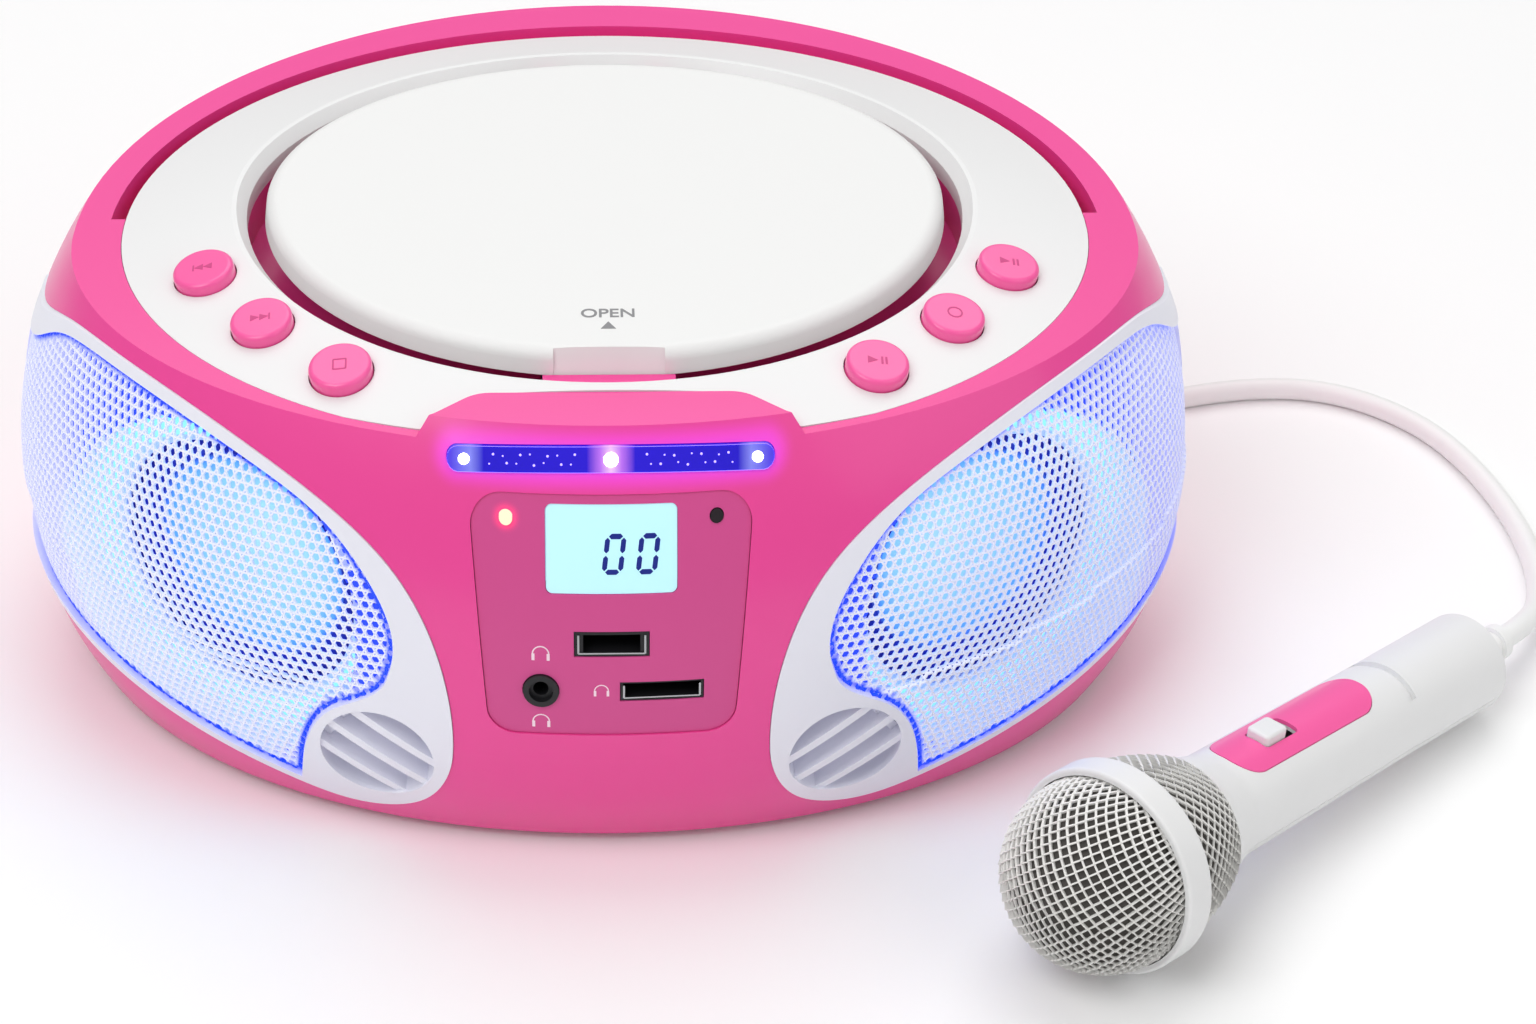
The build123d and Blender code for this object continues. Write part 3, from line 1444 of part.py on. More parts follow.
add("casing_screws", make_screws())
add("mic_grille", MIC * make_mic_grille())
add("mic_ring", MIC * make_mic_ring())
add("mic_body_upper", MIC * make_mic_upper())
add("mic_body_lower", MIC * mic_half(False))
add("mic_plate", MIC * make_mic_plate())
add("mic_switch", MIC * make_mic_switch())
add("mic_relief", MIC * make_relief())
add("mic_cord", tube("mic_cord", MIC_CORD))
add("mic_lead", tube("mic_lead", LEAD_CORD))
add("mic_coil", make_coil())
add("mic_plug", make_plug())

os.makedirs("parts", exist_ok=True)
for name, part in PARTS.items():
    export_step(Compound(part) if isinstance(part, list) else part, f"parts/{name}.step")
print(len(PARTS), "pieces written")
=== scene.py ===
"""Looks of the oval karaoke boombox: lit grilles, gloss pink and white casings, microphone and cord.

Lengths are written in millimetres and turned to metres where a mesh is made.
"""

import logging
import math
from dataclasses import dataclass, field
from typing import Iterable, Sequence

import bmesh
import bpy
from mathutils import Matrix, Vector
from mathutils.bvhtree import BVHTree


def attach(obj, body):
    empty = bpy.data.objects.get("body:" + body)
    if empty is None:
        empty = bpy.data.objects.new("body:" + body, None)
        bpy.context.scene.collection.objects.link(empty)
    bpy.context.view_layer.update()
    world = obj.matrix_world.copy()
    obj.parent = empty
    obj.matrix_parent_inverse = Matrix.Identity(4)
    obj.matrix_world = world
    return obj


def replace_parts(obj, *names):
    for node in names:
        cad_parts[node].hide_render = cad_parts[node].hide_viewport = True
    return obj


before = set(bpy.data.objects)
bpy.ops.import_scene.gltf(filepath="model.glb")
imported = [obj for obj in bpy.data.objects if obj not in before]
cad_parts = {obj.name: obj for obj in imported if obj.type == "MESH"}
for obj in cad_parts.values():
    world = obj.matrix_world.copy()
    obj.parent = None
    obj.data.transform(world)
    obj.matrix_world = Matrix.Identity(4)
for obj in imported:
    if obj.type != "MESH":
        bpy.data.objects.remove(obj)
log = logging.getLogger("boombox")

MM = 0.001
Colour = tuple[float, float, float, float]
Place = tuple[float, float, float]
Steps = tuple[tuple[float, str], ...]
Outline = Sequence[tuple[float, float]]
Mesh = bmesh.types.BMesh
Piece = bpy.types.Object
Tree = bpy.types.NodeTree
Node = bpy.types.Node
Socket = bpy.types.NodeSocket
WHITE: Colour = (1.0, 1.0, 1.0, 1.0)
COAT_ROUGH = 0.12
GRAIN_DEPTH = 0.02
SPEAKER_PLACE: Place = (88.0, -62.0, 57.0)
SPEAKER_TURN = math.radians(33.0)


def hex_colour(text: str) -> Colour:
    """Turns an sRGB hex value to linear colour.

    Args:
        text: Six hex digits with a leading hash.

    Returns:
        Linear red, green, blue and alpha.
    """
    channels = []
    for start in (1, 3, 5):
        value = int(text[start:start + 2], 16) / 255
        channels.append(value / 12.92 if value <= 0.04045 else ((value + 0.055) / 1.055) ** 2.4)
    return (channels[0], channels[1], channels[2], 1.0)


# ---------------------------------------------------------------- materials
def add_node(tree: Tree, kind: str, settings: dict | None = None, **links: Socket) -> Node:
    """Adds a shader node with its settings and links.

    Args:
        tree: The material's node tree.
        kind: The node's type name.
        settings: Input names or attributes and their values.
        **links: Input names with underscores for spaces, and the sockets that feed them.

    Returns:
        The new node.
    """
    node = tree.nodes.new(kind)
    for name, value in (settings or {}).items():
        if name in node.inputs:
            node.inputs[name].default_value = value
        else:
            setattr(node, name, value)
    for name, socket in links.items():
        tree.links.new(socket, node.inputs[name.replace("_", " ")])
    return node


def add_math(tree: Tree, operation: str, first: Socket,
             second: Socket | float = 0.0) -> Socket:
    """Adds a node of arithmetic.

    Args:
        tree: The material's node tree.
        operation: The operation's name.
        first: The socket that feeds its first input.
        second: The socket that feeds its second input, or its number.

    Returns:
        The result's socket.
    """
    node = add_node(tree, "ShaderNodeMath", {"operation": operation})
    tree.links.new(first, node.inputs[0])
    if isinstance(second, float):
        node.inputs[1].default_value = second
    else:
        tree.links.new(second, node.inputs[1])
    return node.outputs[0]


def new_material(name: str, colour: str, rough: float) -> tuple[bpy.types.Material, Node]:
    """Makes a material and returns it with its shader."""
    material = bpy.data.materials.new(name)
    material.use_nodes = True
    shader = material.node_tree.nodes["Principled BSDF"]
    shader.inputs["Base Color"].default_value = hex_colour(colour)
    shader.inputs["Roughness"].default_value = rough
    return material, shader


@dataclass(frozen=True)
class Finish:
    """A moulded or coated surface with a fine grain.

    Attributes:
        name: The material's common name.
        colour: Its colour as an sRGB hex value.
        rough: Roughness of the surface.
        metal: One for bare metal.
        coat: Weight of a clear coat.
        grain_mm: Size of the surface's grain.
        grain: Strength of the grain.
        glow: Hex colour of light that the piece gives off, or none.
        strength: Strength of that light.
    """

    name: str
    colour: str
    rough: float = 0.4
    metal: float = 0.0
    coat: float = 0.0
    grain_mm: float = 0.5
    grain: float = 0.05
    glow: str = ""
    strength: float = 0.0

    def build(self) -> bpy.types.Material:
        """Makes the material once and returns it."""
        found = bpy.data.materials.get(self.name)
        if found is not None:
            return found
        material, shader = new_material(self.name, self.colour, self.rough)
        tree = material.node_tree
        place = add_node(tree, "ShaderNodeTexCoord").outputs["Object"]
        noise = add_node(tree, "ShaderNodeTexNoise", {"Scale": 1 / (self.grain_mm * MM), "Detail": 2.0}, Vector=place)
        bump = add_node(tree, "ShaderNodeBump", {"Strength": self.grain, "Distance": GRAIN_DEPTH * MM},
                        Height=noise.outputs["Fac"])
        tree.links.new(bump.outputs["Normal"], shader.inputs["Normal"])
        shader.inputs["Metallic"].default_value = self.metal
        shader.inputs["Coat Weight"].default_value = self.coat
        shader.inputs["Coat Roughness"].default_value = COAT_ROUGH
        if self.glow:
            shader.inputs["Emission Color"].default_value = hex_colour(self.glow)
            shader.inputs["Emission Strength"].default_value = self.strength
        self.shade(tree, shader, place)
        material.diffuse_color = hex_colour(self.colour)
        return material

    def shade(self, tree: Tree, shader: Node, place: Socket) -> None:
        """Adds what sets a special finish apart. A plain one has nothing to add.

        Args:
            tree: The material's node tree.
            shader: Its shader.
            place: The socket that gives the place on the piece.
        """


@dataclass(frozen=True)
class LitFinish(Finish):
    """A finish with a painted glow round a lamp, seen from the front.

    Attributes:
        centre: Middle of the lamp in x and z, in millimetres.
        half_length: Half length of a long lamp.
        radius: Radius of the lamp.
        reach: Distance over which the light fades.
    """

    centre: tuple[float, float] = (0.0, 0.0)
    half_length: float = 0.0
    radius: float = 1.0
    reach: float = 1.0

    def shade(self, tree: Tree, shader: Node, place: Socket) -> None:
        """Keeps the painted glow on the front and close to the lamp."""
        parts = add_node(tree, "ShaderNodeSeparateXYZ", Vector=place).outputs
        aside = add_math(tree, "ABSOLUTE", add_math(tree, "SUBTRACT", parts["X"], self.centre[0] * MM))
        past = add_math(tree, "MAXIMUM", add_math(tree, "SUBTRACT", aside, self.half_length * MM))
        rise = add_math(tree, "SUBTRACT", parts["Z"], self.centre[1] * MM)
        spot = add_node(tree, "ShaderNodeCombineXYZ", X=past, Y=rise)
        gap = add_node(tree, "ShaderNodeVectorMath", {"operation": "LENGTH"}, Vector=spot.outputs[0])
        limits = {"From Min": self.radius * MM, "From Max": (self.radius + self.reach) * MM, "To Min": self.strength,
                  "To Max": 0.0}
        fade = add_node(tree, "ShaderNodeMapRange", {"interpolation_type": "SMOOTHERSTEP", **limits},
                        Value=gap.outputs["Value"])
        # The painted glow, on the front half only.
        power = add_math(tree, "MULTIPLY", fade.outputs["Result"], add_math(tree, "LESS_THAN", parts["Y"]))
        tree.links.new(power, shader.inputs["Emission Strength"])


@dataclass(frozen=True)
class RampFinish(Finish):
    """A finish whose colour changes with a distance, used for painted light.

    Attributes:
        steps: Distances in millimetres and their sRGB hex colours, nearest first.
        span: Distance at the end of the ramp.
    """

    steps: Steps = ()
    span: float = 40.0

    def gap(self, tree: Tree, parts: dict[str, Socket]) -> Socket:
        """Gives the distance, in metres, from sockets for X from the middle plane, Y and Z."""
        return parts["X"]

    def shade(self, tree: Tree, shader: Node, place: Socket) -> None:
        """Adds the ramp of colours."""
        parts = dict(add_node(tree, "ShaderNodeSeparateXYZ", Vector=place).outputs.items())
        parts["X"] = add_math(tree, "ABSOLUTE", parts["X"])
        share = add_math(tree, "DIVIDE", self.gap(tree, parts), self.span * MM)
        ramp = add_node(tree, "ShaderNodeValToRGB", Fac=share)
        spots = ramp.color_ramp.elements
        for index, (away, colour) in enumerate(self.steps):
            spot = spots[index] if index < 2 else spots.new(away / self.span)
            spot.position = away / self.span
            spot.color = hex_colour(colour)
        tree.links.new(ramp.outputs["Color"], shader.inputs["Base Color"])
        if self.strength:
            tree.links.new(ramp.outputs["Color"], shader.inputs["Emission Color"])
            shader.inputs["Emission Strength"].default_value = self.strength


@dataclass(frozen=True)
class SpeakerFinish(RampFinish):
    """A surface with painted light, whose colour changes with its distance from the speaker's axis."""

    span: float = 60.0

    def gap(self, tree: Tree, parts: dict[str, Socket]) -> Socket:
        """Gives the distance from the axis of the speaker on that side."""
        point = add_node(tree, "ShaderNodeCombineXYZ", **parts)
        spot = {"Location": tuple(part * MM for part in SPEAKER_PLACE), "Rotation": (0.0, 0.0, SPEAKER_TURN)}
        local = add_node(tree, "ShaderNodeMapping", {"vector_type": "TEXTURE", **spot}, Vector=point.outputs[0])
        flat = add_node(tree, "ShaderNodeVectorMath", {"operation": "MULTIPLY"}, Vector=local.outputs[0])
        flat.inputs[1].default_value = (1.0, 0.0, 1.0)
        away = add_node(tree, "ShaderNodeVectorMath", {"operation": "LENGTH"}, Vector=flat.outputs[0])
        return away.outputs["Value"]


@dataclass(frozen=True)
class EdgeFinish(Finish):
    """A finish with a painted blue glow near the rim, by the piece's own attribute.

    Attributes:
        edge: Hex colour of the painted glow at the rim.
        rim_glow_strength: Strength of that painted glow.
        reach: Distance from the rim over which it fades, in millimetres.
    """

    edge: str = "#1840F0"
    rim_glow_strength: float = 0.8
    reach: float = 1.9

    def shade(self, tree: Tree, shader: Node, place: Socket) -> None:
        """Adds the painted glow at the rim."""
        gap = add_node(tree, "ShaderNodeAttribute", {"attribute_name": "rim_gap"})
        limits = {"From Min": 0.5 * self.reach, "From Max": self.reach, "To Min": 1.0, "To Max": 0.0}
        near = add_node(tree, "ShaderNodeMapRange", limits, Value=gap.outputs["Fac"]).outputs["Result"]
        # Mixes the painted blue glow in near the rim, in colour and in emission.
        for name, plain in (("Base Color", self.colour), ("Emission Color", self.glow)):
            mix = add_node(tree, "ShaderNodeMix", {"data_type": "RGBA"}, Factor=near)
            mix.inputs[6].default_value = hex_colour(plain)
            mix.inputs[7].default_value = hex_colour(self.edge)
            tree.links.new(mix.outputs[2], shader.inputs[name])
        limits = {"To Min": self.strength, "To Max": self.rim_glow_strength}
        power = add_node(tree, "ShaderNodeMapRange", limits, Value=near)
        tree.links.new(power.outputs["Result"], shader.inputs["Emission Strength"])


# An even sheen with soft highlights that follow the curve.
PINK_ABS = Finish("Pink ABS, gloss moulded", "#F4459C", rough=0.30, coat=0.25)
# A shade deeper and duller than the casing round it.
PINK_PANEL = Finish("Pink ABS, satin moulded", "#DB4C92", rough=0.42)
# Brighter than the casing, with a small highlight on the edge.
PINK_KEY = Finish("Pink ABS key, polished", "#FF5FA8", rough=0.28, coat=0.3)
# A clean white with a soft sheen.
WHITE_ABS = Finish("White ABS, satin moulded", "#EEEEEE", rough=0.38)
# A flatter white than the deck.
LID_ABS = Finish("White ABS lid, fine matt", "#EFEFEE", rough=0.5, grain=0.08)
# A white with a faint blue tint and a faint painted blue glow, both standing in for the blue light beside it.
SURROUND_ABS = Finish("White ABS surround", "#F1F1FA", rough=0.35, glow="#C9CCFF", strength=0.02)
# An even pale blue ring round the cone.
RING_LIGHT = Finish("Light guide ring, frosted acrylic", "#8CC8FF", rough=0.5, glow="#6CB4FF", strength=1.4)
# A thin violet line where light leaves the bar at its rim.
BAR_EDGE = Finish("Frosted rim of the light bar", "#B9A8FF", rough=0.3, glow="#A890FF", strength=1.2)
# A hard white point.
LAMP_WHITE = Finish("White lamp chip", "#FFFFFF", rough=0.3, glow="#F4F0FF", strength=6.0)
# A small red dome with a pale middle.
LAMP_RED = Finish("Red lamp, clear epoxy", "#FF4030", rough=0.2, glow="#FFA890", strength=2.4)
# An even cyan field.
LCD_GLASS = Finish("Backlit display glass", "#BDEBF2", rough=0.2, glow="#A8E0EC", strength=0.36)
# Flat navy strokes.
LCD_DIGIT = Finish("Display segment", "#0A1F8C", rough=0.4)
# Nearly black with no sheen.
DARK_ABS = Finish("Black ABS, fine matt", "#16161A", rough=0.5)
# A dark window with a sharp highlight.
SENSOR_ABS = Finish("Smoked sensor window", "#241C22", rough=0.15)
# A thin bright edge.
STEEL = Finish("Nickel plated steel", "#B8BABD", rough=0.3, metal=1.0)
# A grey, faintly spangled sheet.
ZINC = Finish("Zinc plated sheet", "#A9ACB0", rough=0.42, metal=1.0, grain=0.2)
# A dull charcoal grey.
FERRITE = Finish("Ferrite magnet", "#2A2A2C", rough=0.6, grain=0.3)
# Brown, half bright stripes.
CORE_STEEL = Finish("Varnished core laminations", "#4A4440", rough=0.5, metal=0.6)
# A green lacquer with a soft sheen.
BOARD_GREEN = Finish("Circuit board, solder mask", "#1C6B3C", rough=0.35)
# A soft black with no highlight.
RUBBER = Finish("Black rubber", "#1A1A1B", rough=0.75, grain=0.2)
# Pale wires that stand out from the foam.
MIC_WIRE = Finish("Coated wire mesh", "#F0EFEC", rough=0.45)
# A dull grey ground behind the wires.
MIC_FOAM = Finish("Dark acoustic foam", "#565350", rough=0.95, grain=0.6, grain_mm=1.2)
# A white, faintly soft skin.
CORD_PVC = Finish("White PVC cord sheath", "#F8F8F7", rough=0.4, grain=0.08)
# Flat grey letters.
PRINT_GREY = Finish("Grey pad print", "#8A8A8C", rough=0.5)
# Thin pale pink lines.
PRINT_WHITE = Finish("White pad print", "#FFE3F0", rough=0.5)
# A sign a shade darker than its key.
ENGRAVED = Finish("Engraved mark in a key", "#D24486", rough=0.5)
# Pale wires with a faint painted lavender glow, turning to a painted blue glow at the rim.
GRILLE_STEEL = EdgeFinish("Powder coated perforated steel", "#F2F3FC", rough=0.45, glow="#C8D2FF", strength=0.14)
# A sheet of painted blue light behind the holes, deeper at the rim.
BLUE_GLOW_SHEET = EdgeFinish("Sheet of painted blue light behind the grille", "#2A48E8", rough=0.6, glow="#3458F4", strength=0.55)
# Colours of the painted lamp glow along the bar, by distance from its middle.
BAR_GLOW_STEPS = ((0.0, "#FFD0FF"), (2.4, "#C878FF"), (5.5, "#2A12E0"), (29.0, "#2410D8"), (32.0, "#8C90FF"),
             (36.5, "#5A48F4"))
# Deep blue acrylic with the lamps' glow painted into its colour, violet at the middle and paler at the ends.
BAR_ACRYLIC = RampFinish("Blue acrylic light bar", "#3A18E8", rough=0.12, steps=BAR_GLOW_STEPS)
# The casing pink, with a painted magenta glow close round the bar.
PINK_UPPER = LitFinish("Pink ABS, gloss moulded, lit by the bar", "#F4459C", rough=0.30, coat=0.25, glow="#A828FF",
                       strength=0.42, centre=(0.0, 105.4), half_length=34.9, radius=1.5, reach=6.5)
# The panel pink, with a painted red glow round the lamp.
PINK_PANEL_LIT = LitFinish("Pink ABS, satin moulded, lit by a lamp", "#D84C92", rough=0.42, glow="#FF1040",
                           strength=0.45, centre=(-24.1, 93.4), reach=3.0)
# Colours of the painted light of the rings, by distance from the speaker's axis.
SPEAKER_LIGHT_STEPS = ((0.0, "#B8E2FF"), (19.0, "#94CCFF"), (25.0, "#5CA4F8"), (27.5, "#0A1690"), (37.0, "#080E70"),
                 (39.5, "#3C90F8"), (43.0, "#2C58EC"))
# Painted light of the rings on the cone: a pale blue middle inside a navy band, azure beyond.
CONE_LIT = SpeakerFinish("Lit paper cone", "#BFE8FF", rough=0.7, grain=0.3, strength=0.5, steps=SPEAKER_LIGHT_STEPS)
# The same painted rings of light a little dimmer, behind the cone.
BASKET_LIT = SpeakerFinish("Lit basket and roll", "#0B1278", rough=0.5, strength=0.4, steps=SPEAKER_LIGHT_STEPS)

FINISH_NODES: tuple[tuple[Finish, str], ...] = (
    (PINK_ABS, "base_shell disc_well"),
    (PINK_UPPER, "upper_shell"),
    (PINK_PANEL_LIT, "control_panel"),
    (PINK_PANEL, "battery_door"),
    (PINK_KEY, "mic_plate button_back button_next button_stop button_play button_mode button_pause"),
    (WHITE_ABS, "top_deck sled_gear mic_ring mic_body_upper mic_body_lower mic_switch mic_plug"),
    (LID_ABS, "lid_shell"),
    (SURROUND_ABS, "surround_left surround_right"),
    (GRILLE_STEEL, "grille_left grille_right"),
    (RING_LIGHT, "light_rings"),
    (BAR_ACRYLIC, "light_bar"),
    (LCD_GLASS, "display"),
    (LAMP_RED, "power_lamp"),
    (SENSOR_ABS, "remote_sensor"),
    (DARK_ABS, "usb_port card_slot headphone_jack lid_clamp turntable pickup battery_box mic_jacks mains_inlet"),
    (DARK_ABS, "power_switch"),
    (BOARD_GREEN, "front_board main_board button_boards"),
    (STEEL, "lid_hinge_pin guide_rods casing_screws"),
    (ZINC, "drive_plate spindle_motor"),
    (RUBBER, "drive_grommets rubber_feet"),
    (BASKET_LIT, "speaker_basket_left speaker_basket_right"),
    (CONE_LIT, "speaker_cones"),
    (FERRITE, "speaker_magnets"),
    (CORE_STEEL, "transformer"),
    (MIC_WIRE, "mic_grille"),
    (CORD_PVC, "mic_relief mic_cord mic_lead mic_coil"),
)


# ---------------------------------------------------------------- meshes
def link_new(name: str, data: bpy.types.ID) -> Piece:
    """Makes an object of some data and links it to the scene."""
    piece = bpy.data.objects.new(name, data)
    bpy.context.scene.collection.objects.link(piece)
    return piece


def keep_mesh(name: str, mesh: Mesh, finish: Finish, rides: str, smooth: bool = False) -> Piece:
    """Turns a bmesh in millimetres into an object at the origin with one finish.

    Args:
        name: The object's name.
        mesh: The shape, which is freed.
        finish: Its finish.
        rides: The body that it moves with, or nothing for the studio.
        smooth: Whether its faces are shaded smooth.

    Returns:
        The new object.
    """
    bmesh.ops.scale(mesh, vec=(MM, MM, MM), verts=mesh.verts)
    data = bpy.data.meshes.new(name)
    for face in mesh.faces:
        face.smooth = smooth
    mesh.to_mesh(data)
    mesh.free()
    data.materials.append(finish.build())
    piece = link_new(name, data)
    if rides:
        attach(piece, rides)
        log.info("%s: %d faces on %s", name, len(data.polygons), rides)
    return piece


def points_of(made: dict) -> list[bmesh.types.BMVert]:
    """Points among what an operator made."""
    return [item for item in made["geom"] if isinstance(item, bmesh.types.BMVert)]


def raise_faces(mesh: Mesh, faces: list, offset: Place) -> list[bmesh.types.BMVert]:
    """Extrudes faces, moves the new ones and returns their points."""
    raised = points_of(bmesh.ops.extrude_face_region(mesh, geom=faces))
    bmesh.ops.translate(mesh, vec=offset, verts=raised)
    return raised


def thicken(mesh: Mesh, thickness: float) -> None:
    """Turns a sheet's faces outwards and gives it a thickness."""
    bmesh.ops.recalc_face_normals(mesh, faces=mesh.faces)
    bmesh.ops.solidify(mesh, geom=list(mesh.faces), thickness=thickness)
    bmesh.ops.recalc_face_normals(mesh, faces=mesh.faces)


def open_cells(mesh: Mesh, wire: float, even: bool) -> None:
    """Leaves half a wire's width along every edge of a field of cells."""
    holes = list(mesh.faces)
    bmesh.ops.inset_individual(mesh, faces=holes, thickness=wire / 2, use_even_offset=even)
    bmesh.ops.delete(mesh, geom=holes, context="FACES_ONLY")


HEADING_STEP = 0.0005


@dataclass
class CabinetForm:
    """The cabinet's outer form, by level and by heading round the oval."""

    belly_half_width: float = 148.2
    belly_z: float = 55.0
    barrel_radius: float = 104.0
    nose_depth: float = 111.5
    nose_z: float = 43.0
    nose_low: float = 75.0
    nose_high: float = 118.0
    back_depth: float = 114.0
    back_z: float = 70.0
    back_radius: float = 140.0

    def half_width(self, z: float) -> float:
        """Half width at a level."""
        return self.belly_half_width - self.barrel_radius + math.sqrt(self.barrel_radius**2 - (z - self.belly_z)**2)

    def front_depth(self, z: float) -> float:
        """Reach of the front at a level."""
        radius = self.nose_high if z > self.nose_z else self.nose_low
        return self.nose_depth - radius + math.sqrt(radius**2 - (z - self.nose_z)**2)

    def back_reach(self, z: float) -> float:
        """Reach of the back at a level."""
        rise = min(0.0, z - self.back_z)
        return self.back_depth - self.back_radius + math.sqrt(self.back_radius**2 - rise**2)

    def at(self, heading: float, z: float, inset: float) -> Vector:
        """Point on the form.

        Args:
            heading: Angle in radians from the front towards the side.
            z: Level.
            inset: Distance inside the surface.

        Returns:
            The point in millimetres.
        """
        depth = self.front_depth(z) if abs(heading) < math.pi / 2 else self.back_reach(z)
        wide = self.half_width(z) - inset
        return Vector((wide * math.sin(heading), -(depth - inset) * math.cos(heading), z))

    def front_y(self, x: float, z: float, inset: float = 0.0) -> float:
        """Depth of the front surface at a place seen from the front."""
        wide = self.half_width(z) - inset
        return -(self.front_depth(z) - inset) * math.sqrt(max(0.0, 1 - (x / wide)**2))

    def normal(self, x: float, z: float) -> Vector:
        """Direction out of the front surface at a place seen from the front."""
        across = self.front_y(x + 0.5, z) - self.front_y(x - 0.5, z)
        up = self.front_y(x, z + 0.5) - self.front_y(x, z - 0.5)
        return Vector((across, -1.0, up)).normalized()

    def depth_in(self, point: Vector) -> float:
        """Rough distance of a point inside the surface."""
        reach = self.front_depth(point.z) if point.y < 0 else self.back_reach(point.z)
        share = math.hypot(point.x / self.half_width(point.z), point.y / reach)
        return (1 - share) * math.hypot(point.x, point.y)

    def headings(self, step: float, count: int) -> list[float]:
        """Headings at even steps of length along the widest section.

        Args:
            step: Length of a step in millimetres.
            count: Number of steps.

        Returns:
            The headings in radians, from the front towards the side.
        """
        found = [0.0]
        heading = 0.0
        walked = 0.0
        while len(found) <= count:
            here = self.at(heading, self.belly_z, 0.0)
            heading += HEADING_STEP
            walked += (self.at(heading, self.belly_z, 0.0) - here).length
            if walked >= step * len(found):
                found.append(heading)
        return found


FORM = CabinetForm()
DECK_Z, DECK_TILT = 112.5, math.radians(3.0)
TOP = Matrix.Translation((0, 0, DECK_Z)) @ Matrix.Rotation(DECK_TILT, 4, "X")
# The microphone rests on its ring and on the end of its handle.
RING_RADIUS, RING_X, TAIL_RADIUS, TAIL_X = 25.2, 7.5, 12.8, 146.0
MIC_DIP = math.asin((RING_RADIUS - TAIL_RADIUS) / (TAIL_X - RING_X))
MIC_Z = RING_RADIUS * math.cos(MIC_DIP) + RING_X * math.sin(MIC_DIP) + 0.05
MIC_X, MIC_Y, MIC_HEADING = 111.7, -144.5, math.radians(43.6)
MIC = (Matrix.Translation((MIC_X, MIC_Y, MIC_Z)) @ Matrix.Rotation(MIC_HEADING, 4, "Z")
       @ Matrix.Rotation(MIC_DIP, 4, "Y"))


def arc_band(radius: float, width: float, start: float, sweep: float, steps: int) -> list[Outline]:
    """Outlines of a bent stroke, one per step.

    Args:
        radius: Radius of its middle.
        width: Width of the stroke.
        start: First angle in degrees.
        sweep: Angle that it turns through.
        steps: Number of straight pieces.

    Returns:
        Four cornered outlines.
    """
    angles = [math.radians(start + sweep * index / steps) for index in range(steps + 1)]
    near, far = ([(edge * math.cos(turn), edge * math.sin(turn)) for turn in angles]
                 for edge in (radius - width / 2, radius + width / 2))
    return [(near[i], far[i], far[i + 1], near[i + 1]) for i in range(steps)]


def stroke(start: tuple[float, float], end: tuple[float, float], width: float) -> Outline:
    """Four cornered outline of a straight stroke."""
    run = Vector((end[0] - start[0], end[1] - start[1]))
    side = Vector((-run.y, run.x)).normalized() * width / 2
    return ((start[0] - side.x, start[1] - side.y), (end[0] - side.x, end[1] - side.y),
            (end[0] + side.x, end[1] + side.y), (start[0] + side.x, start[1] + side.y))


def moved(outlines: Iterable[Outline], dx: float, dy: float, scale: float = 1.0) -> list[Outline]:
    """Outlines moved and scaled in their plane."""
    return [tuple((x * scale + dx, y * scale + dy) for x, y in outline) for outline in outlines]


def prism_mesh(outlines: Iterable[Outline], depth: float) -> Mesh:
    """Flat prisms from closed outlines in the XY plane.

    Args:
        outlines: Corner lists.
        depth: Thickness above the plane.

    Returns:
        The mesh.
    """
    mesh = bmesh.new()
    for outline in outlines:
        face = mesh.faces.new([mesh.verts.new((x, y, 0.0)) for x, y in outline])
        raise_faces(mesh, [face], (0, 0, depth))
    bmesh.ops.recalc_face_normals(mesh, faces=mesh.faces)
    return mesh


def on_front(mesh: Mesh, inset: float) -> None:
    """Bends a flat mesh, drawn in X and Y with its depth in Z, onto the cabinet's front."""
    for vert in mesh.verts:
        x, z, proud = vert.co
        vert.co = Vector((x, FORM.front_y(x, z, inset) - proud, z))
    bmesh.ops.recalc_face_normals(mesh, faces=mesh.faces)


def lathe(profile: Outline, place: Matrix, segments: int) -> Mesh:
    """Body of revolution about the X axis.

    Args:
        profile: Points along the axis and away from it.
        place: Frame of the axis in millimetres.
        segments: Number of steps round.

    Returns:
        The mesh.
    """
    mesh = bmesh.new()
    verts = [mesh.verts.new((along, 0.0, away)) for along, away in profile]
    edges = [mesh.edges.new(pair) for pair in zip(verts, verts[1:])]
    bmesh.ops.spin(mesh, geom=verts + edges, cent=(0, 0, 0), axis=(1, 0, 0), dvec=(0, 0, 0), angle=2 * math.pi,
                   steps=segments, use_merge=True)
    bmesh.ops.remove_doubles(mesh, verts=mesh.verts, dist=0.001)
    bmesh.ops.recalc_face_normals(mesh, faces=mesh.faces)
    bmesh.ops.transform(mesh, matrix=place, verts=mesh.verts)
    return mesh


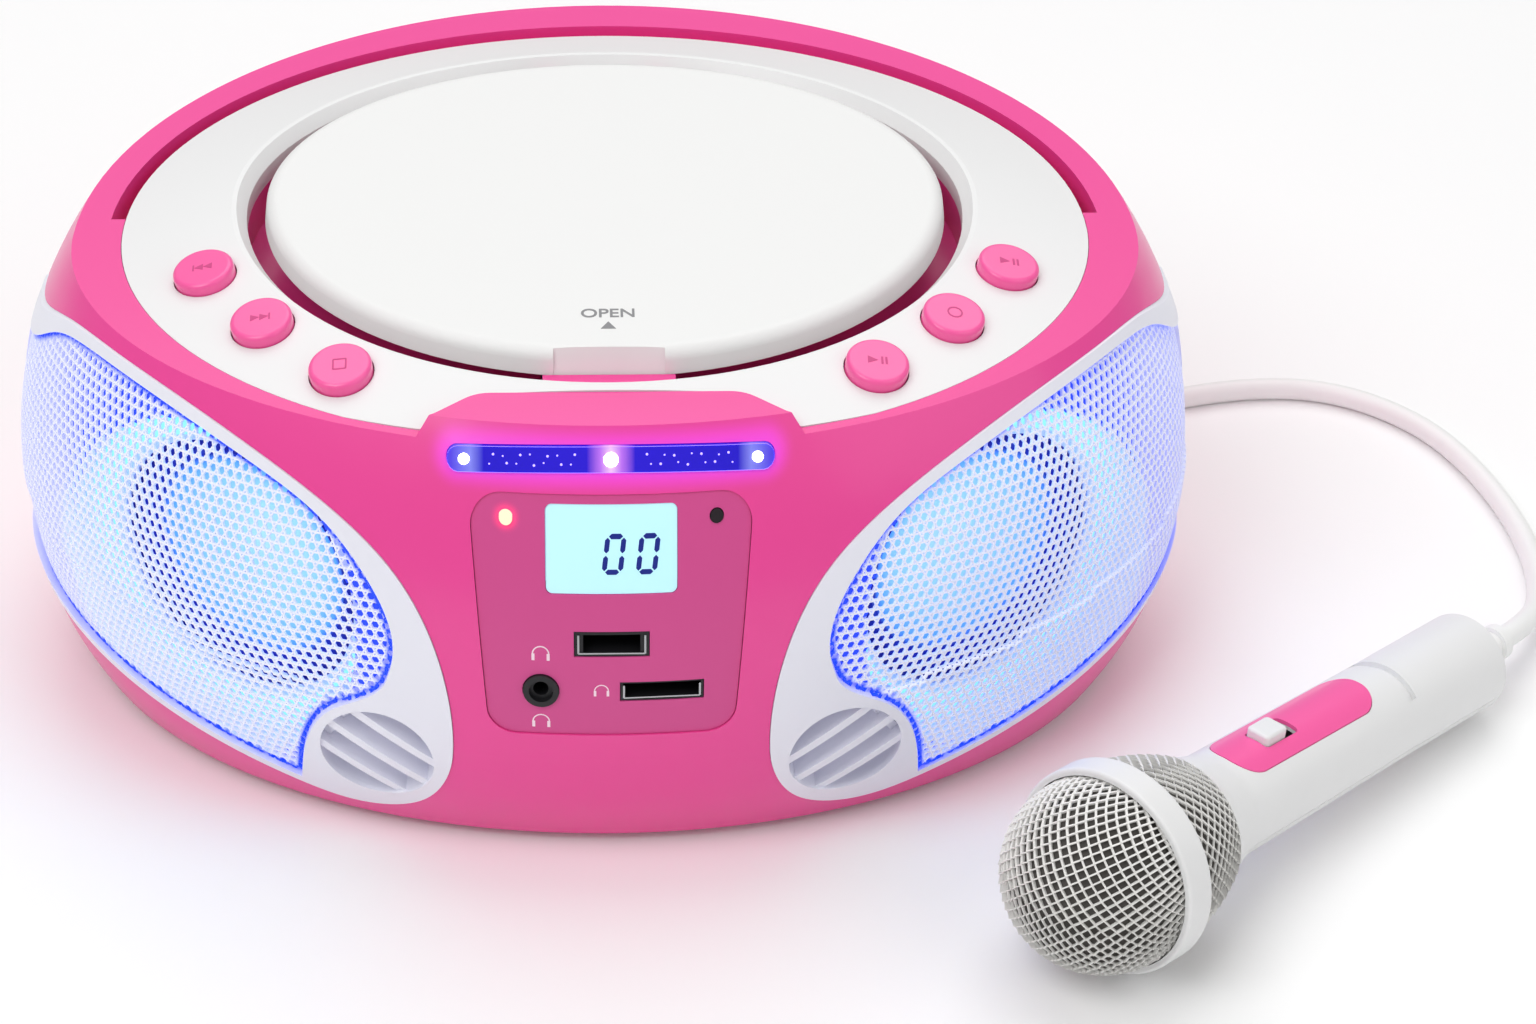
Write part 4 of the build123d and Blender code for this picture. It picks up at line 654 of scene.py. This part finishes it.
# ---------------------------------------------------------------- speakers
@dataclass
class GrillePair:
    """Perforated steel grilles that follow the cabinet's flanks, and the sheets of painted blue light behind them."""

    pitch: float = 2.6
    wire: float = 0.8
    sheet: float = 0.8
    inset: float = 1.4
    middle_inset: float = 1.9
    spare: float = 1.5
    back_y: float = 30.0
    columns: int = 88
    rows: int = 42
    low_z: float = 9.0
    rim_depth: float = 2.3
    film_inset: float = 3.2
    film_sheet: float = 0.3
    film_hole: float = 44.0
    headings: list[float] = field(init=False)

    def __post_init__(self) -> None:
        """Finds the headings, four to a cell."""
        self.headings = FORM.headings(self.pitch / 4, self.columns * 4 + 8)

    def place(self, point: Vector, side: int, inset: float) -> Vector:
        """Point on the form for a place in the flat field, on the right for side 1, on the left for -1."""
        step = max(0.0, min(point.x / (self.pitch / 4), len(self.headings) - 2))
        low = int(step)
        heading = self.headings[low] + (self.headings[low + 1] - self.headings[low]) * (step - low)
        return FORM.at(side * heading, self.low_z + point.y, inset)

    def copy(self, mesh: Mesh, dx: float, dy: float, cells: list) -> None:
        """Adds a moved copy of some cells."""
        bmesh.ops.translate(mesh, vec=(dx, dy, 0.0), verts=points_of(bmesh.ops.duplicate(mesh, geom=cells)))

    def cells(self) -> Mesh:
        """Flat field of six sided cells, by distance round the cabinet and by level."""
        mesh = bmesh.new()
        bmesh.ops.create_circle(mesh, cap_ends=True, segments=6, radius=self.pitch / math.sqrt(3))
        bmesh.ops.rotate(mesh, cent=(0, 0, 0), matrix=Matrix.Rotation(math.radians(30), 3, "Z"), verts=mesh.verts)
        cell = [*mesh.verts, *mesh.edges, *mesh.faces]
        for column in range(1, self.columns):
            self.copy(mesh, column * self.pitch, 0.0, cell)
        row = [*mesh.verts, *mesh.edges, *mesh.faces]
        climb = self.pitch * math.sqrt(3) / 2
        for level in range(1, self.rows):
            self.copy(mesh, self.pitch / 2 * (level % 2), climb * level, row)
        bmesh.ops.remove_doubles(mesh, verts=mesh.verts, dist=0.05)
        return mesh

    def clip(self, mesh: Mesh, side: int, node: str) -> None:
        """Takes away the cells that lie off a grille's own sheet."""
        sheet = bmesh.new()
        sheet.from_mesh(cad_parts[node].data)
        near = BVHTree.FromBMesh(sheet)
        outside = []
        for face in mesh.faces:
            middle = self.place(face.calc_center_median(), side, self.middle_inset) * MM
            if middle.y > self.back_y * MM or near.find_nearest(middle)[3] > self.spare * MM:
                outside.append(face)
        bmesh.ops.delete(mesh, geom=outside, context="FACES")
        sheet.free()

    def build(self) -> None:
        """Makes both grilles over their sheets."""
        for side, word in ((1, "right"), (-1, "left")):
            node = "grille_" + word
            rim = self.rim_tree(word)
            mesh = self.cells()
            self.clip(mesh, side, node)
            film = mesh.copy()
            open_cells(mesh, self.wire, True)
            for vert in mesh.verts:
                vert.co = self.place(vert.co, side, self.inset)
            thicken(mesh, self.sheet)
            self.mark_rim(mesh, rim)
            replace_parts(keep_mesh("perforated_" + node, mesh, GRILLE_STEEL, "cabinet"), node)
            self.film(film, side, word, rim)

    def rim_tree(self, word: str) -> BVHTree:
        """Search tree of the surround's faces beside the grille's edge."""
        rim = bmesh.new()
        rim.from_mesh(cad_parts["surround_" + word].data)
        deep = [face for face in rim.faces if FORM.depth_in(face.calc_center_median() / MM) > self.rim_depth]
        bmesh.ops.delete(rim, geom=deep, context="FACES")
        tree = BVHTree.FromBMesh(rim)
        rim.free()
        return tree

    def mark_rim(self, mesh: Mesh, rim: BVHTree) -> None:
        """Keeps each point's distance from the rim, in millimetres, as an attribute."""
        layer = mesh.verts.layers.float.new("rim_gap")
        for vert in mesh.verts:
            vert[layer] = rim.find_nearest(vert.co * MM)[3] / MM

    def film(self, mesh: Mesh, side: int, word: str, rim: BVHTree) -> None:
        """Lays the sheet of painted blue light behind a grille, open round the speaker's chamber.

        Args:
            mesh: The field of closed cells inside the opening.
            side: One on the right, minus one on the left.
            word: The side's name.
            rim: Search tree of the surround's rim.
        """
        centre = Vector((side * SPEAKER_PLACE[0], SPEAKER_PLACE[1], SPEAKER_PLACE[2]))
        axis = Vector((side * math.sin(SPEAKER_TURN), -math.cos(SPEAKER_TURN), 0))
        for vert in mesh.verts:
            vert.co = self.place(vert.co, side, self.film_inset)
        inner = []
        for face in mesh.faces:
            gap = face.calc_center_median() - centre
            if (gap - axis * gap.dot(axis)).length < self.film_hole:
                inner.append(face)
        bmesh.ops.delete(mesh, geom=inner, context="FACES")
        thicken(mesh, self.film_sheet)
        self.mark_rim(mesh, rim)
        # Adds the sheet that carries the painted blue light.
        keep_mesh("blue_glow_sheet_" + word, mesh, BLUE_GLOW_SHEET, "cabinet")


# ---------------------------------------------------------------- top and front marks
CAPITAL_SHARE = 0.72
DIGIT_WIDTH, DIGIT_HEIGHT, DIGIT_BAR, DIGIT_GAP, DIGIT_SLANT = 3.7, 7.8, 1.15, 0.25, 0.12


@dataclass
class Marks:
    """Pad printed and engraved signs on the lid, the keys and the panel."""

    letter_height: float = 3.6
    word_y: float = -48.0
    arrow: Outline = ((-1.8, -54.4), (1.8, -54.4), (0.0, -51.4))
    icon_line: float = 0.4
    key_top: float = 3.0
    lean: float = 12.0
    lid_top: float = 7.5
    lid_y: float = 8.0
    lid_half_width: float = 88.5
    lid_half_depth: float = 78.5
    deck_half_width: float = 118.8
    deck_front: float = 92.0
    deck_back: float = 97.0
    crest_half_width: float = 92.1
    crest_half_depth: float = 82.1
    crest_rise: float = 5.0
    places: dict[str, tuple[float, float]] = field(default_factory=lambda: {
        "back": (-96.6, -24.0), "next": (-81.5, -46.0), "stop": (-62.2, -65.0),
        "pause": (62.2, -65.0), "mode": (81.5, -46.0), "play": (96.6, -24.0),
    })

    def deck_height(self, x: float, y: float) -> float:
        """Height of the deck over its rim at a place, between the rim and the crest round the lid."""
        outside = math.hypot(x / self.deck_half_width, y / (self.deck_front if y < 0 else self.deck_back))
        crest = math.hypot(x / self.crest_half_width, (y - self.lid_y) / self.crest_half_depth)
        gap_out = math.hypot(x, y) * (1 / outside - 1)
        gap_in = math.hypot(x, y - self.lid_y) * (1 - 1 / crest)
        return self.crest_rise * gap_out / (gap_out + gap_in)

    def key_frame(self, name: str) -> Matrix:
        """Frame of a key's top."""
        x, y = self.places[name]
        heading = math.atan2((y - self.lid_y) / self.lid_half_depth**2, x / self.lid_half_width**2)
        turn = Matrix.Rotation(heading, 4, "Z") @ Matrix.Rotation(math.radians(self.lean), 4, "Y")
        turn = turn @ Matrix.Rotation(-heading, 4, "Z")
        place = Matrix.Translation((x, y, self.deck_height(x, y)))
        return TOP @ place @ turn @ Matrix.Translation((0, 0, self.key_top))

    def triangle(self, x: float, size: float, heading: int = 1) -> Outline:
        """Outline of a triangle that points along X."""
        tip, half = heading * size / 2, size / 2
        return ((x - tip, -half), (x + tip, 0.0), (x - tip, half))

    def upright(self, x: float, half: float, wider: float = 1.0) -> Outline:
        """Upright stroke of a key's sign."""
        return stroke((x, -half), (x, half), self.icon_line * wider)

    def box(self, x: float, half_wide: float, half_high: float) -> list[Outline]:
        """Outline strokes of a rectangle."""
        corners = [(x - half_wide, -half_high), (x + half_wide, -half_high), (x + half_wide, half_high),
                   (x - half_wide, half_high)]
        return [stroke(corners[i], corners[(i + 1) % 4], self.icon_line) for i in range(4)]

    def icon(self, name: str) -> list[Outline]:
        """Strokes of a key's sign."""
        pause = [self.triangle(-1.3, 2.4), self.upright(0.9, 1.2, 1.3), self.upright(1.9, 1.2, 1.3)]
        signs = {
            "back": [self.triangle(1.3, 2.2, -1), self.triangle(-0.9, 2.2, -1), self.upright(-2.2, 1.1)],
            "next": [self.triangle(-1.3, 2.2), self.triangle(0.9, 2.2), self.upright(2.2, 1.1)],
            "stop": self.box(0.0, 1.5, 1.6),
            "pause": pause,
            "play": pause,
            "mode": arc_band(1.7, self.icon_line, 0, 360, 16),
        }
        return signs[name]

    def keys(self) -> None:
        """Engraves the keys' signs."""
        for name in self.places:
            mesh = prism_mesh(self.icon(name), 0.06)
            bmesh.ops.transform(mesh, matrix=self.key_frame(name), verts=mesh.verts)
            keep_mesh(f"sign_{name}", mesh, ENGRAVED, f"button_{name}_body")

    def lettering(self) -> None:
        """Prints the word and the arrow on the lid."""
        curve = bpy.data.curves.new("open_word", "FONT")
        curve.body = "OPEN"
        curve.align_x = curve.align_y = "CENTER"
        curve.size = self.letter_height / CAPITAL_SHARE
        curve.extrude = 0.04
        curve.offset = 0.06
        holder = link_new("open_word_curve", curve)
        bpy.context.view_layer.update()
        flat = bpy.data.meshes.new_from_object(holder)
        bpy.data.objects.remove(holder)
        word = bmesh.new()
        word.from_mesh(flat)
        bpy.data.meshes.remove(flat)
        arrow = prism_mesh([self.arrow], 0.08)
        for name, mesh, place in (("open_word", word, (0, self.word_y, self.lid_top + 0.05)),
                                  ("open_arrow", arrow, (0, 0, self.lid_top))):
            bmesh.ops.transform(mesh, matrix=TOP @ Matrix.Translation(place), verts=mesh.verts)
            keep_mesh(name, mesh, PRINT_GREY, "lid")

    def digit(self, dx: float, dz: float, segments: str) -> list[Outline]:
        """Outlines of a seven segment digit.

        Args:
            dx: Middle of the digit.
            dz: Level of its middle.
            segments: Letters of its lit segments.

        Returns:
            The segments' outlines.
        """
        across, up = DIGIT_WIDTH / 2, DIGIT_HEIGHT / 4

        def bar(x: float, z: float, half: float, upright: bool = False) -> Outline:
            thin, reach = DIGIT_BAR / 2, half - DIGIT_GAP
            corners = ((-reach, 0.0), (thin - reach, -thin), (reach - thin, -thin), (reach, 0.0),
                       (reach - thin, thin), (thin - reach, thin))
            return [(x - v, z + u) if upright else (x + u, z + v) for u, v in corners]

        shapes = {name: bar(0.0, z, across) for name, z in (("a", 2 * up), ("g", 0.0), ("d", -2 * up))}
        shapes |= {name: bar(x, z, up, True) for name, x, z in (
            ("f", -across, up), ("b", across, up), ("e", -across, -up), ("c", across, -up))}
        slanted = [[(x + DIGIT_SLANT * z, z) for x, z in shapes[letter]] for letter in segments]
        return moved(slanted, dx, dz)

    def display(self) -> None:
        """Shows two digits on the display."""
        mesh = prism_mesh(self.digit(0.6, 85.8, "abcdef") + self.digit(8.4, 85.8, "abcdef"), 0.06)
        on_front(mesh, 0.8)
        keep_mesh("display_digits", mesh, LCD_DIGIT, "cabinet")

    def headphones(self) -> None:
        """Prints the headphone signs beside the socket."""
        sign = arc_band(1.9, 0.3, -20, 220, 12)
        sign += [stroke((-1.75, -1.6), (-1.75, 0.1), 0.7), stroke((1.75, -1.6), (1.75, 0.1), 0.7)]
        mesh = prism_mesh(moved(sign, -16.4, 62.4) + moved(sign, -16.4, 44.4) + moved(sign, -2.4, 53.0, 0.85), 0.05)
        on_front(mesh, 0.5)
        keep_mesh("headphone_signs", mesh, PRINT_WHITE, "cabinet")

    def port_rims(self) -> None:
        """Adds the folded steel edges in the mouths of the two ports."""
        outlines = []
        for middle_x, middle_z, wide, high in ((0.0, 65.0, 15.4, 4.5), (11.6, 52.8, 17.6, 3.3)):
            left, right = middle_x - wide / 2, middle_x + wide / 2
            low, top = middle_z - high / 2, middle_z + high / 2
            outlines += [stroke((left, low), (right, low), 0.35), stroke((left, low), (left, top), 0.45),
                         stroke((right, low), (right, top), 0.45)]
        mesh = prism_mesh(outlines, 0.1)
        on_front(mesh, 0.5)
        keep_mesh("port_rims", mesh, STEEL, "cabinet")

    def build(self) -> None:
        """Adds every mark."""
        self.port_rims()
        self.keys()
        self.lettering()
        self.display()
        self.headphones()


# ---------------------------------------------------------------- light bar
@dataclass
class BarLamps:
    """Lamp chips and the frosted rim of the light bar."""

    bar_z: float = 105.4
    sag: float = -1.0
    reach: float = 34.9
    radius: float = 2.5
    proud: float = 0.62
    end_lamp: float = 33.5
    lamp_sizes: Place = (1.35, 1.75, 1.35)
    lamp_rise: float = 0.3
    sparkle_start: float = 8.2
    sparkle_step: float = 3.1
    sparkle_lifts: tuple[float, ...] = (1.0, -0.9, 0.7, -1.1, 0.9, -0.7, 1.0)
    rim_line: float = 0.3
    rim_rise: float = 0.12
    long_steps: int = 16
    round_steps: int = 8

    def level(self, x: float) -> float:
        """Middle height of the bar at a place across."""
        return self.bar_z - self.sag / 2 + self.sag * (x / self.reach)**2

    def spot(self, mesh: Mesh, x: float, z: float, size: float, rise: float) -> None:
        """Adds a small domed lamp on the bar's face."""
        made = bmesh.ops.create_icosphere(mesh, subdivisions=2, radius=size)
        turn = Vector((0, 0, 1)).rotation_difference(FORM.normal(x, z)).to_matrix().to_4x4()
        place = Matrix.Translation((x, FORM.front_y(x, z, -self.proud), z)) @ turn
        bmesh.ops.transform(mesh, matrix=place @ Matrix.Diagonal((1.0, 1.0, rise / size, 1.0)), verts=made["verts"])

    def outline(self) -> list[tuple[float, float]]:
        """Corners round the bar, from the left end of its lower edge."""
        corners = []
        for side in (1, -1):
            for index in range(self.long_steps + 1):
                x = side * (2 * self.reach * index / self.long_steps - self.reach)
                corners.append((x, self.level(x) - side * self.radius))
            for index in range(1, self.round_steps):
                turn = math.radians(180 * index / self.round_steps - 90 * side)
                corners.append((side * self.reach + self.radius * math.cos(turn),
                                self.level(self.reach) + self.radius * math.sin(turn)))
        return corners

    def build(self) -> None:
        """Adds the lamps, their sparkle and the rim."""
        lamps = bmesh.new()
        for x, size in zip((-self.end_lamp, 0.0, self.end_lamp), self.lamp_sizes):
            self.spot(lamps, x, self.level(x), size, self.lamp_rise)
        keep_mesh("bar_lamps", lamps, LAMP_WHITE, "cabinet", smooth=True)
        sparkle = bmesh.new()
        for index, lift in enumerate(self.sparkle_lifts):
            along = self.sparkle_start + index * self.sparkle_step
            for side in (-1, 1):
                self.spot(sparkle, side * along, self.level(along) + lift, 0.3, 0.12)
                self.spot(sparkle, side * (along + 0.9), self.level(along) - lift * 0.9, 0.22, 0.1)
        keep_mesh("bar_sparkle", sparkle, BAR_EDGE, "cabinet", smooth=True)
        rim = bmesh.new()
        face = rim.faces.new([rim.verts.new((x, z, 0.0)) for x, z in self.outline()])
        bmesh.ops.inset_region(rim, faces=[face], thickness=self.rim_line, use_boundary=True, use_even_offset=True)
        bmesh.ops.delete(rim, geom=[face], context="FACES_ONLY")
        raise_faces(rim, list(rim.faces), (0, 0, self.rim_rise))
        on_front(rim, -self.proud)
        keep_mesh("bar_rim", rim, BAR_EDGE, "cabinet")


# ---------------------------------------------------------------- back
@dataclass
class RecessWall:
    """Upper part of the hand recess's front wall, up to the deck's underside."""

    half_width: float = 44.0
    face_y: float = 85.95
    thickness: float = 2.4
    low: float = 84.0
    top: float = 114.2

    def build(self) -> None:
        """Adds the wall."""
        mesh = bmesh.new()
        size = Matrix.Diagonal((2 * self.half_width, self.thickness, self.top - self.low, 1.0))
        middle = Matrix.Translation((0.0, self.face_y - self.thickness / 2, (self.top + self.low) / 2))
        bmesh.ops.create_cube(mesh, size=1.0, matrix=middle @ size)
        keep_mesh("hand_recess_wall", mesh, PINK_ABS, "cabinet")


# ---------------------------------------------------------------- microphone
@dataclass
class MicrophoneHead:
    """Woven wire ball over dark foam."""

    ball_radius: float = 23.5
    band_start: float = -1.0
    band_end: float = 7.5
    neck_start: float = 28.0
    neck_radius: float = 17.5
    mesh_pitch: float = 2.25
    wire: float = 0.8
    weave: float = 0.16
    sheet: float = 0.55
    spare: float = 0.35
    margin: float = 5.0
    tuck: float = 3.5
    skirt_columns: int = 42
    skirt_rows: int = 7
    skirt_bulge: float = 4.4
    skirt_spare: float = 0.12
    foam_gap: float = 1.6
    foam_end: Outline = ((15.0, 20.7), (22.0, 18.6), (27.8, 15.6))

    def finish_mesh(self, mesh: Mesh, name: str) -> Piece:
        """Opens the cells of a bent field and gives the wires their thickness."""
        open_cells(mesh, self.wire, False)
        for vert in raise_faces(mesh, list(mesh.faces), (0, 0, 0)):
            foot = Vector((max(vert.co.x, self.band_start), 0.0, 0.0))
            vert.co -= (vert.co - foot).normalized() * self.sheet
        bmesh.ops.recalc_face_normals(mesh, faces=mesh.faces)
        bmesh.ops.transform(mesh, matrix=MIC, verts=mesh.verts)
        return keep_mesh(name, mesh, MIC_WIRE, "microphone")

    def around(self, along: float, radius: float, heading: float) -> Vector:
        """Point at a distance along the axis and away from it."""
        return Vector((along, radius * math.cos(heading), radius * math.sin(heading)))

    def dome(self) -> Piece:
        """Front of the ball, pressed from a flat weave."""
        edge = self.ball_radius * math.sqrt(2)
        half = edge + self.margin
        count = round(2 * half / self.mesh_pitch)
        mesh = bmesh.new()
        bmesh.ops.create_grid(mesh, x_segments=count, y_segments=count, size=half)
        bmesh.ops.rotate(mesh, cent=(0, 0, 0), matrix=Matrix.Rotation(math.radians(45), 3, "Z"), verts=mesh.verts)
        far = [face for face in mesh.faces if face.calc_center_median().length > edge + self.tuck]
        bmesh.ops.delete(mesh, geom=far, context="FACES")
        pitch = 2 * half / count
        for vert in mesh.verts:
            flat = vert.co.length
            column = round((vert.co.x + vert.co.y) / math.sqrt(2) / pitch)
            row = round((vert.co.y - vert.co.x) / math.sqrt(2) / pitch)
            radius = self.ball_radius - self.spare - (0.0 if (column + row) % 2 else self.weave)
            heading = math.atan2(vert.co.y, vert.co.x)
            fall = 2 * math.asin(min(1.0, flat / (2 * self.ball_radius)))
            if flat <= edge:
                vert.co = self.around(self.band_start - radius * math.cos(fall), radius * math.sin(fall), heading)
            else:
                vert.co = self.around(self.band_start + flat - edge, radius, heading)
        return self.finish_mesh(mesh, "mic_mesh_dome")

    def skirt(self) -> Piece:
        """Rear of the ball, between the band and the handle."""
        low, high = self.band_end - 0.6, self.neck_start + 0.4
        mesh = bmesh.new()
        bmesh.ops.create_cone(mesh, cap_ends=False, segments=self.skirt_columns, radius1=10, radius2=10,
                              depth=high - low)
        upright = [edge for edge in mesh.edges if abs(edge.verts[0].co.z - edge.verts[1].co.z) > 1.0]
        bmesh.ops.subdivide_edges(mesh, edges=upright, cuts=self.skirt_rows - 1, use_grid_fill=True)
        old = [edge for edge in mesh.edges if len(edge.link_faces) == 2]
        bmesh.ops.poke(mesh, faces=list(mesh.faces))
        bmesh.ops.dissolve_edges(mesh, edges=old, use_verts=False)
        for vert in mesh.verts:
            heading = math.atan2(vert.co.y, vert.co.x)
            share = (vert.co.z + (high - low) / 2) / (high - low)
            radius = self.ball_radius * (1 - share) + self.neck_radius * share
            radius += self.skirt_bulge * share * (1 - share) - self.skirt_spare
            vert.co = self.around(low + share * (high - low), radius, heading)
        return self.finish_mesh(mesh, "mic_mesh_skirt")

    def build(self) -> None:
        """Makes the ball and the foam in it."""
        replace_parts(self.dome(), "mic_grille")
        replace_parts(self.skirt(), "mic_grille")
        inner = self.ball_radius - self.foam_gap
        turns = [math.radians(degrees) for degrees in range(6, 91, 6)]
        profile = [(self.band_start - inner, 0.0)]
        profile += [(self.band_start - inner * math.cos(turn), inner * math.sin(turn)) for turn in turns]
        profile += [(self.band_end, inner), *self.foam_end]
        keep_mesh("mic_foam", lathe(profile, MIC, 40), MIC_FOAM, "microphone", smooth=True)


# ---------------------------------------------------------------- cord
@dataclass
class CordRun:
    """The microphone's lead: along the floor, coiled behind the cabinet and up to its plug."""

    radius: float = 3.0
    middle: tuple[float, float] = (-12.0, 203.0)
    outer: float = 36.0
    inner: float = 30.0
    floor_z: float = 3.05
    coil_z: float = 3.6
    turns: float = 4.5
    points_per_turn: int = 16
    tie_width: float = 10.0
    tie_sheet: float = 0.4

    def floor_route(self) -> list[Vector]:
        """Route from the microphone to the coil."""
        flat = ((247.5, 17.0), (243.0, 50.0), (231.0, 81.0), (208.0, 100.0), (182.0, 101.5), (154.0, 93.0),
                (126.0, 101.0), (104.0, 122.0), (80.0, 143.0), (52.0, 157.0))
        start = [MIC @ Vector((160.0, 0, 0)), MIC @ Vector((171.0, 0, 0)), Vector((243.5, -9.0, 5.0))]
        end = Vector((22.0, self.middle[1] - self.outer, self.floor_z + 0.2))
        return [*start, *(Vector((x, y, self.floor_z)) for x, y in flat), end]

    def coil(self) -> list[Vector]:
        """Four turns and a half, each beside or on the last."""
        layers = [(self.outer, 0), (self.inner, 0), (self.inner, 1), (self.outer, 1), (self.outer, 2)]
        found = []
        for index in range(round(self.turns * self.points_per_turn) + 1):
            turns = index / self.points_per_turn
            here = layers[int(turns)]
            after = layers[min(int(turns) + 1, 4)]
            share = max(0.0, min(1.0, (turns - int(turns) - 0.55) / 0.3))
            share = share * share * (3 - 2 * share)
            reach = here[0] + (after[0] - here[0]) * share
            level = here[1] + (after[1] - here[1]) * share
            angle = -math.pi / 2 - 2 * math.pi * turns
            found.append(Vector((self.middle[0] + reach * math.cos(angle), self.middle[1] + reach * math.sin(angle),
                                 self.coil_z + 2 * self.radius * level)))
        return found

    def lead_route(self) -> list[Vector]:
        """Route from the coil up to the plug."""
        top = self.coil_z + 4 * self.radius
        return [Vector(point) for point in (
            (16.0, self.middle[1] + self.outer, top), (34.0, 227.0, top + 1.0), (44.0, 205.0, 22.0),
            (49.0, 184.0, 34.0), (50.0, 162.3, 46.0), (50.0, 144.3, 46.0),
        )]

    def tie(self) -> Piece:
        """Hook and loop tie round the bundle at the coil's left side."""
        low, high = 0.1, self.coil_z + 5 * self.radius + 0.5
        inside, outside = self.inner - self.radius - 0.5, self.outer + self.radius + 0.5
        corners = [(inside, low), (outside, low), (outside, high - 0.5), (outside - 1.5, high), (inside + 4.5, high),
                   (inside, high - 6.0)]
        mesh = bmesh.new()
        face = mesh.faces.new([mesh.verts.new((-reach, 0.0, level)) for reach, level in corners])
        raise_faces(mesh, [face], (0, self.tie_width, 0))
        flats = [side for side in mesh.faces
                 if min(abs(side.calc_center_median().y - flat) for flat in (0.0, self.tie_width)) < 0.01]
        bmesh.ops.delete(mesh, geom=flats, context="FACES_ONLY")
        thicken(mesh, self.tie_sheet)
        bmesh.ops.translate(mesh, vec=(self.middle[0], self.middle[1] - self.tie_width / 2, 0.0), verts=mesh.verts)
        return keep_mesh("cord_tie", mesh, RUBBER, "microphone")

    def build(self) -> None:
        """Lays the cord and ties its coil."""
        points = self.floor_route() + self.coil() + self.lead_route()
        curve = bpy.data.curves.new("mic_cable", "CURVE")
        curve.dimensions = "3D"
        curve.bevel_depth = self.radius * MM
        curve.bevel_resolution = 4
        curve.resolution_u = 6
        curve.use_fill_caps = True
        spline = curve.splines.new("NURBS")
        spline.points.add(len(points) - 1)
        for spot, point in zip(spline.points, points):
            spot.co = (*(point * MM), 1.0)
        spline.order_u = 3
        spline.use_endpoint_u = True
        curve.materials.append(CORD_PVC.build())
        cable = link_new("mic_cable", curve)
        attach(cable, "microphone")
        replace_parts(cable, "mic_cord", "mic_lead", "mic_coil")
        tie = self.tie()
        log.info("cord length %.3f m", self.length(points))

    def length(self, points: list[Vector]) -> float:
        """Length of the cord's middle line in metres, from its control points."""
        middles = [(a + b) / 2 for a, b in zip(points, points[1:])]
        return sum((b - a).length for a, b in zip(middles, middles[1:])) * MM


# ---------------------------------------------------------------- studio
@dataclass
class Studio:
    """Plain pale floor, soft lamps and the camera."""

    elevation: float = 33.5
    swing: float = 0.8
    distance: float = 1000.0
    target: Place = (0.0, 0.0, 29.5)
    lens: float = 90.75
    shift: float = 0.106
    floor_half: float = 6000.0
    floor_lift: float = 0.05
    surroundings: float = 0.38
    lamp_aim: Place = (0.0, 0.0, 0.05)
    # Name, place and width in metres, and power in watts.
    lamps: tuple[tuple[str, Place, float, float], ...] = (
        ("key", (-0.8, -0.9, 1.6), 1.2, 15.0), ("fill", (1.2, -0.8, 1.1), 1.4, 5.0),
        ("top", (0.1, 0.8, 1.7), 1.6, 14.0),
    )

    def floor(self) -> None:
        """Adds the floor, lifted a little for the camera alone."""
        mesh = bmesh.new()
        bmesh.ops.create_grid(mesh, x_segments=1, y_segments=1, size=self.floor_half)
        material, shader = new_material("Pale studio floor", "#FAFAFA", 0.6)
        rays = add_node(material.node_tree, "ShaderNodeLightPath")
        lift = add_math(material.node_tree, "MULTIPLY", rays.outputs["Is Camera Ray"], self.floor_lift)
        shader.inputs["Emission Color"].default_value = WHITE
        material.node_tree.links.new(lift, shader.inputs["Emission Strength"])
        piece = keep_mesh("floor", mesh, WHITE_ABS, "")
        piece.data.materials.clear()
        piece.data.materials.append(material)

    def lamp(self, name: str, place: Place, size: float, watts: float) -> None:
        """Adds a soft square lamp that faces the object."""
        data = bpy.data.lights.new(name, "AREA")
        data.size = size
        data.energy = watts
        lamp = link_new(name, data)
        lamp.location = place
        lamp.rotation_euler = (Vector(self.lamp_aim) - Vector(place)).to_track_quat("-Z", "Y").to_euler()

    def camera(self) -> None:
        """Adds the camera."""
        data = bpy.data.cameras.new("camera")
        data.sensor_width = 36.0
        data.lens = self.lens
        data.shift_x = self.shift
        data.clip_end = 20
        rise, swing = math.radians(self.elevation), math.radians(self.swing)
        flat = self.distance * math.cos(rise)
        offset = Vector((-math.sin(swing) * flat, -math.cos(swing) * flat, self.distance * math.sin(rise)))
        camera = link_new("camera", data)
        camera.location = (Vector(self.target) + offset) * MM
        camera.rotation_euler = (-offset).to_track_quat("-Z", "Y").to_euler()
        bpy.context.scene.camera = camera

    def world(self) -> None:
        """Sets the pale surroundings."""
        world = bpy.data.worlds.new("studio")
        world.use_nodes = True
        back = world.node_tree.nodes["Background"]
        back.inputs["Color"].default_value = WHITE
        back.inputs["Strength"].default_value = self.surroundings
        bpy.context.scene.world = world

    def build(self) -> None:
        """Builds the studio."""
        self.floor()
        self.world()
        for name, place, size, watts in self.lamps:
            self.lamp(name, place, size, watts)
        self.camera()
        bpy.context.scene.view_settings.view_transform = "Standard"


def dress_nodes() -> None:
    """Gives each CAD node its finish."""
    finishes = {name: finish for finish, names in FINISH_NODES for name in names.split()}
    for name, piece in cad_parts.items():
        piece.data.materials.clear()
        piece.data.materials.append(finishes[name].build())


def main() -> None:
    """Builds the looks in order."""
    logging.basicConfig(level=logging.INFO)
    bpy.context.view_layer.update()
    Studio().build()
    CordRun().build()
    dress_nodes()
    GrillePair().build()
    MicrophoneHead().build()
    Marks().build()
    BarLamps().build()
    RecessWall().build()


if __name__ == "__main__":
    main()
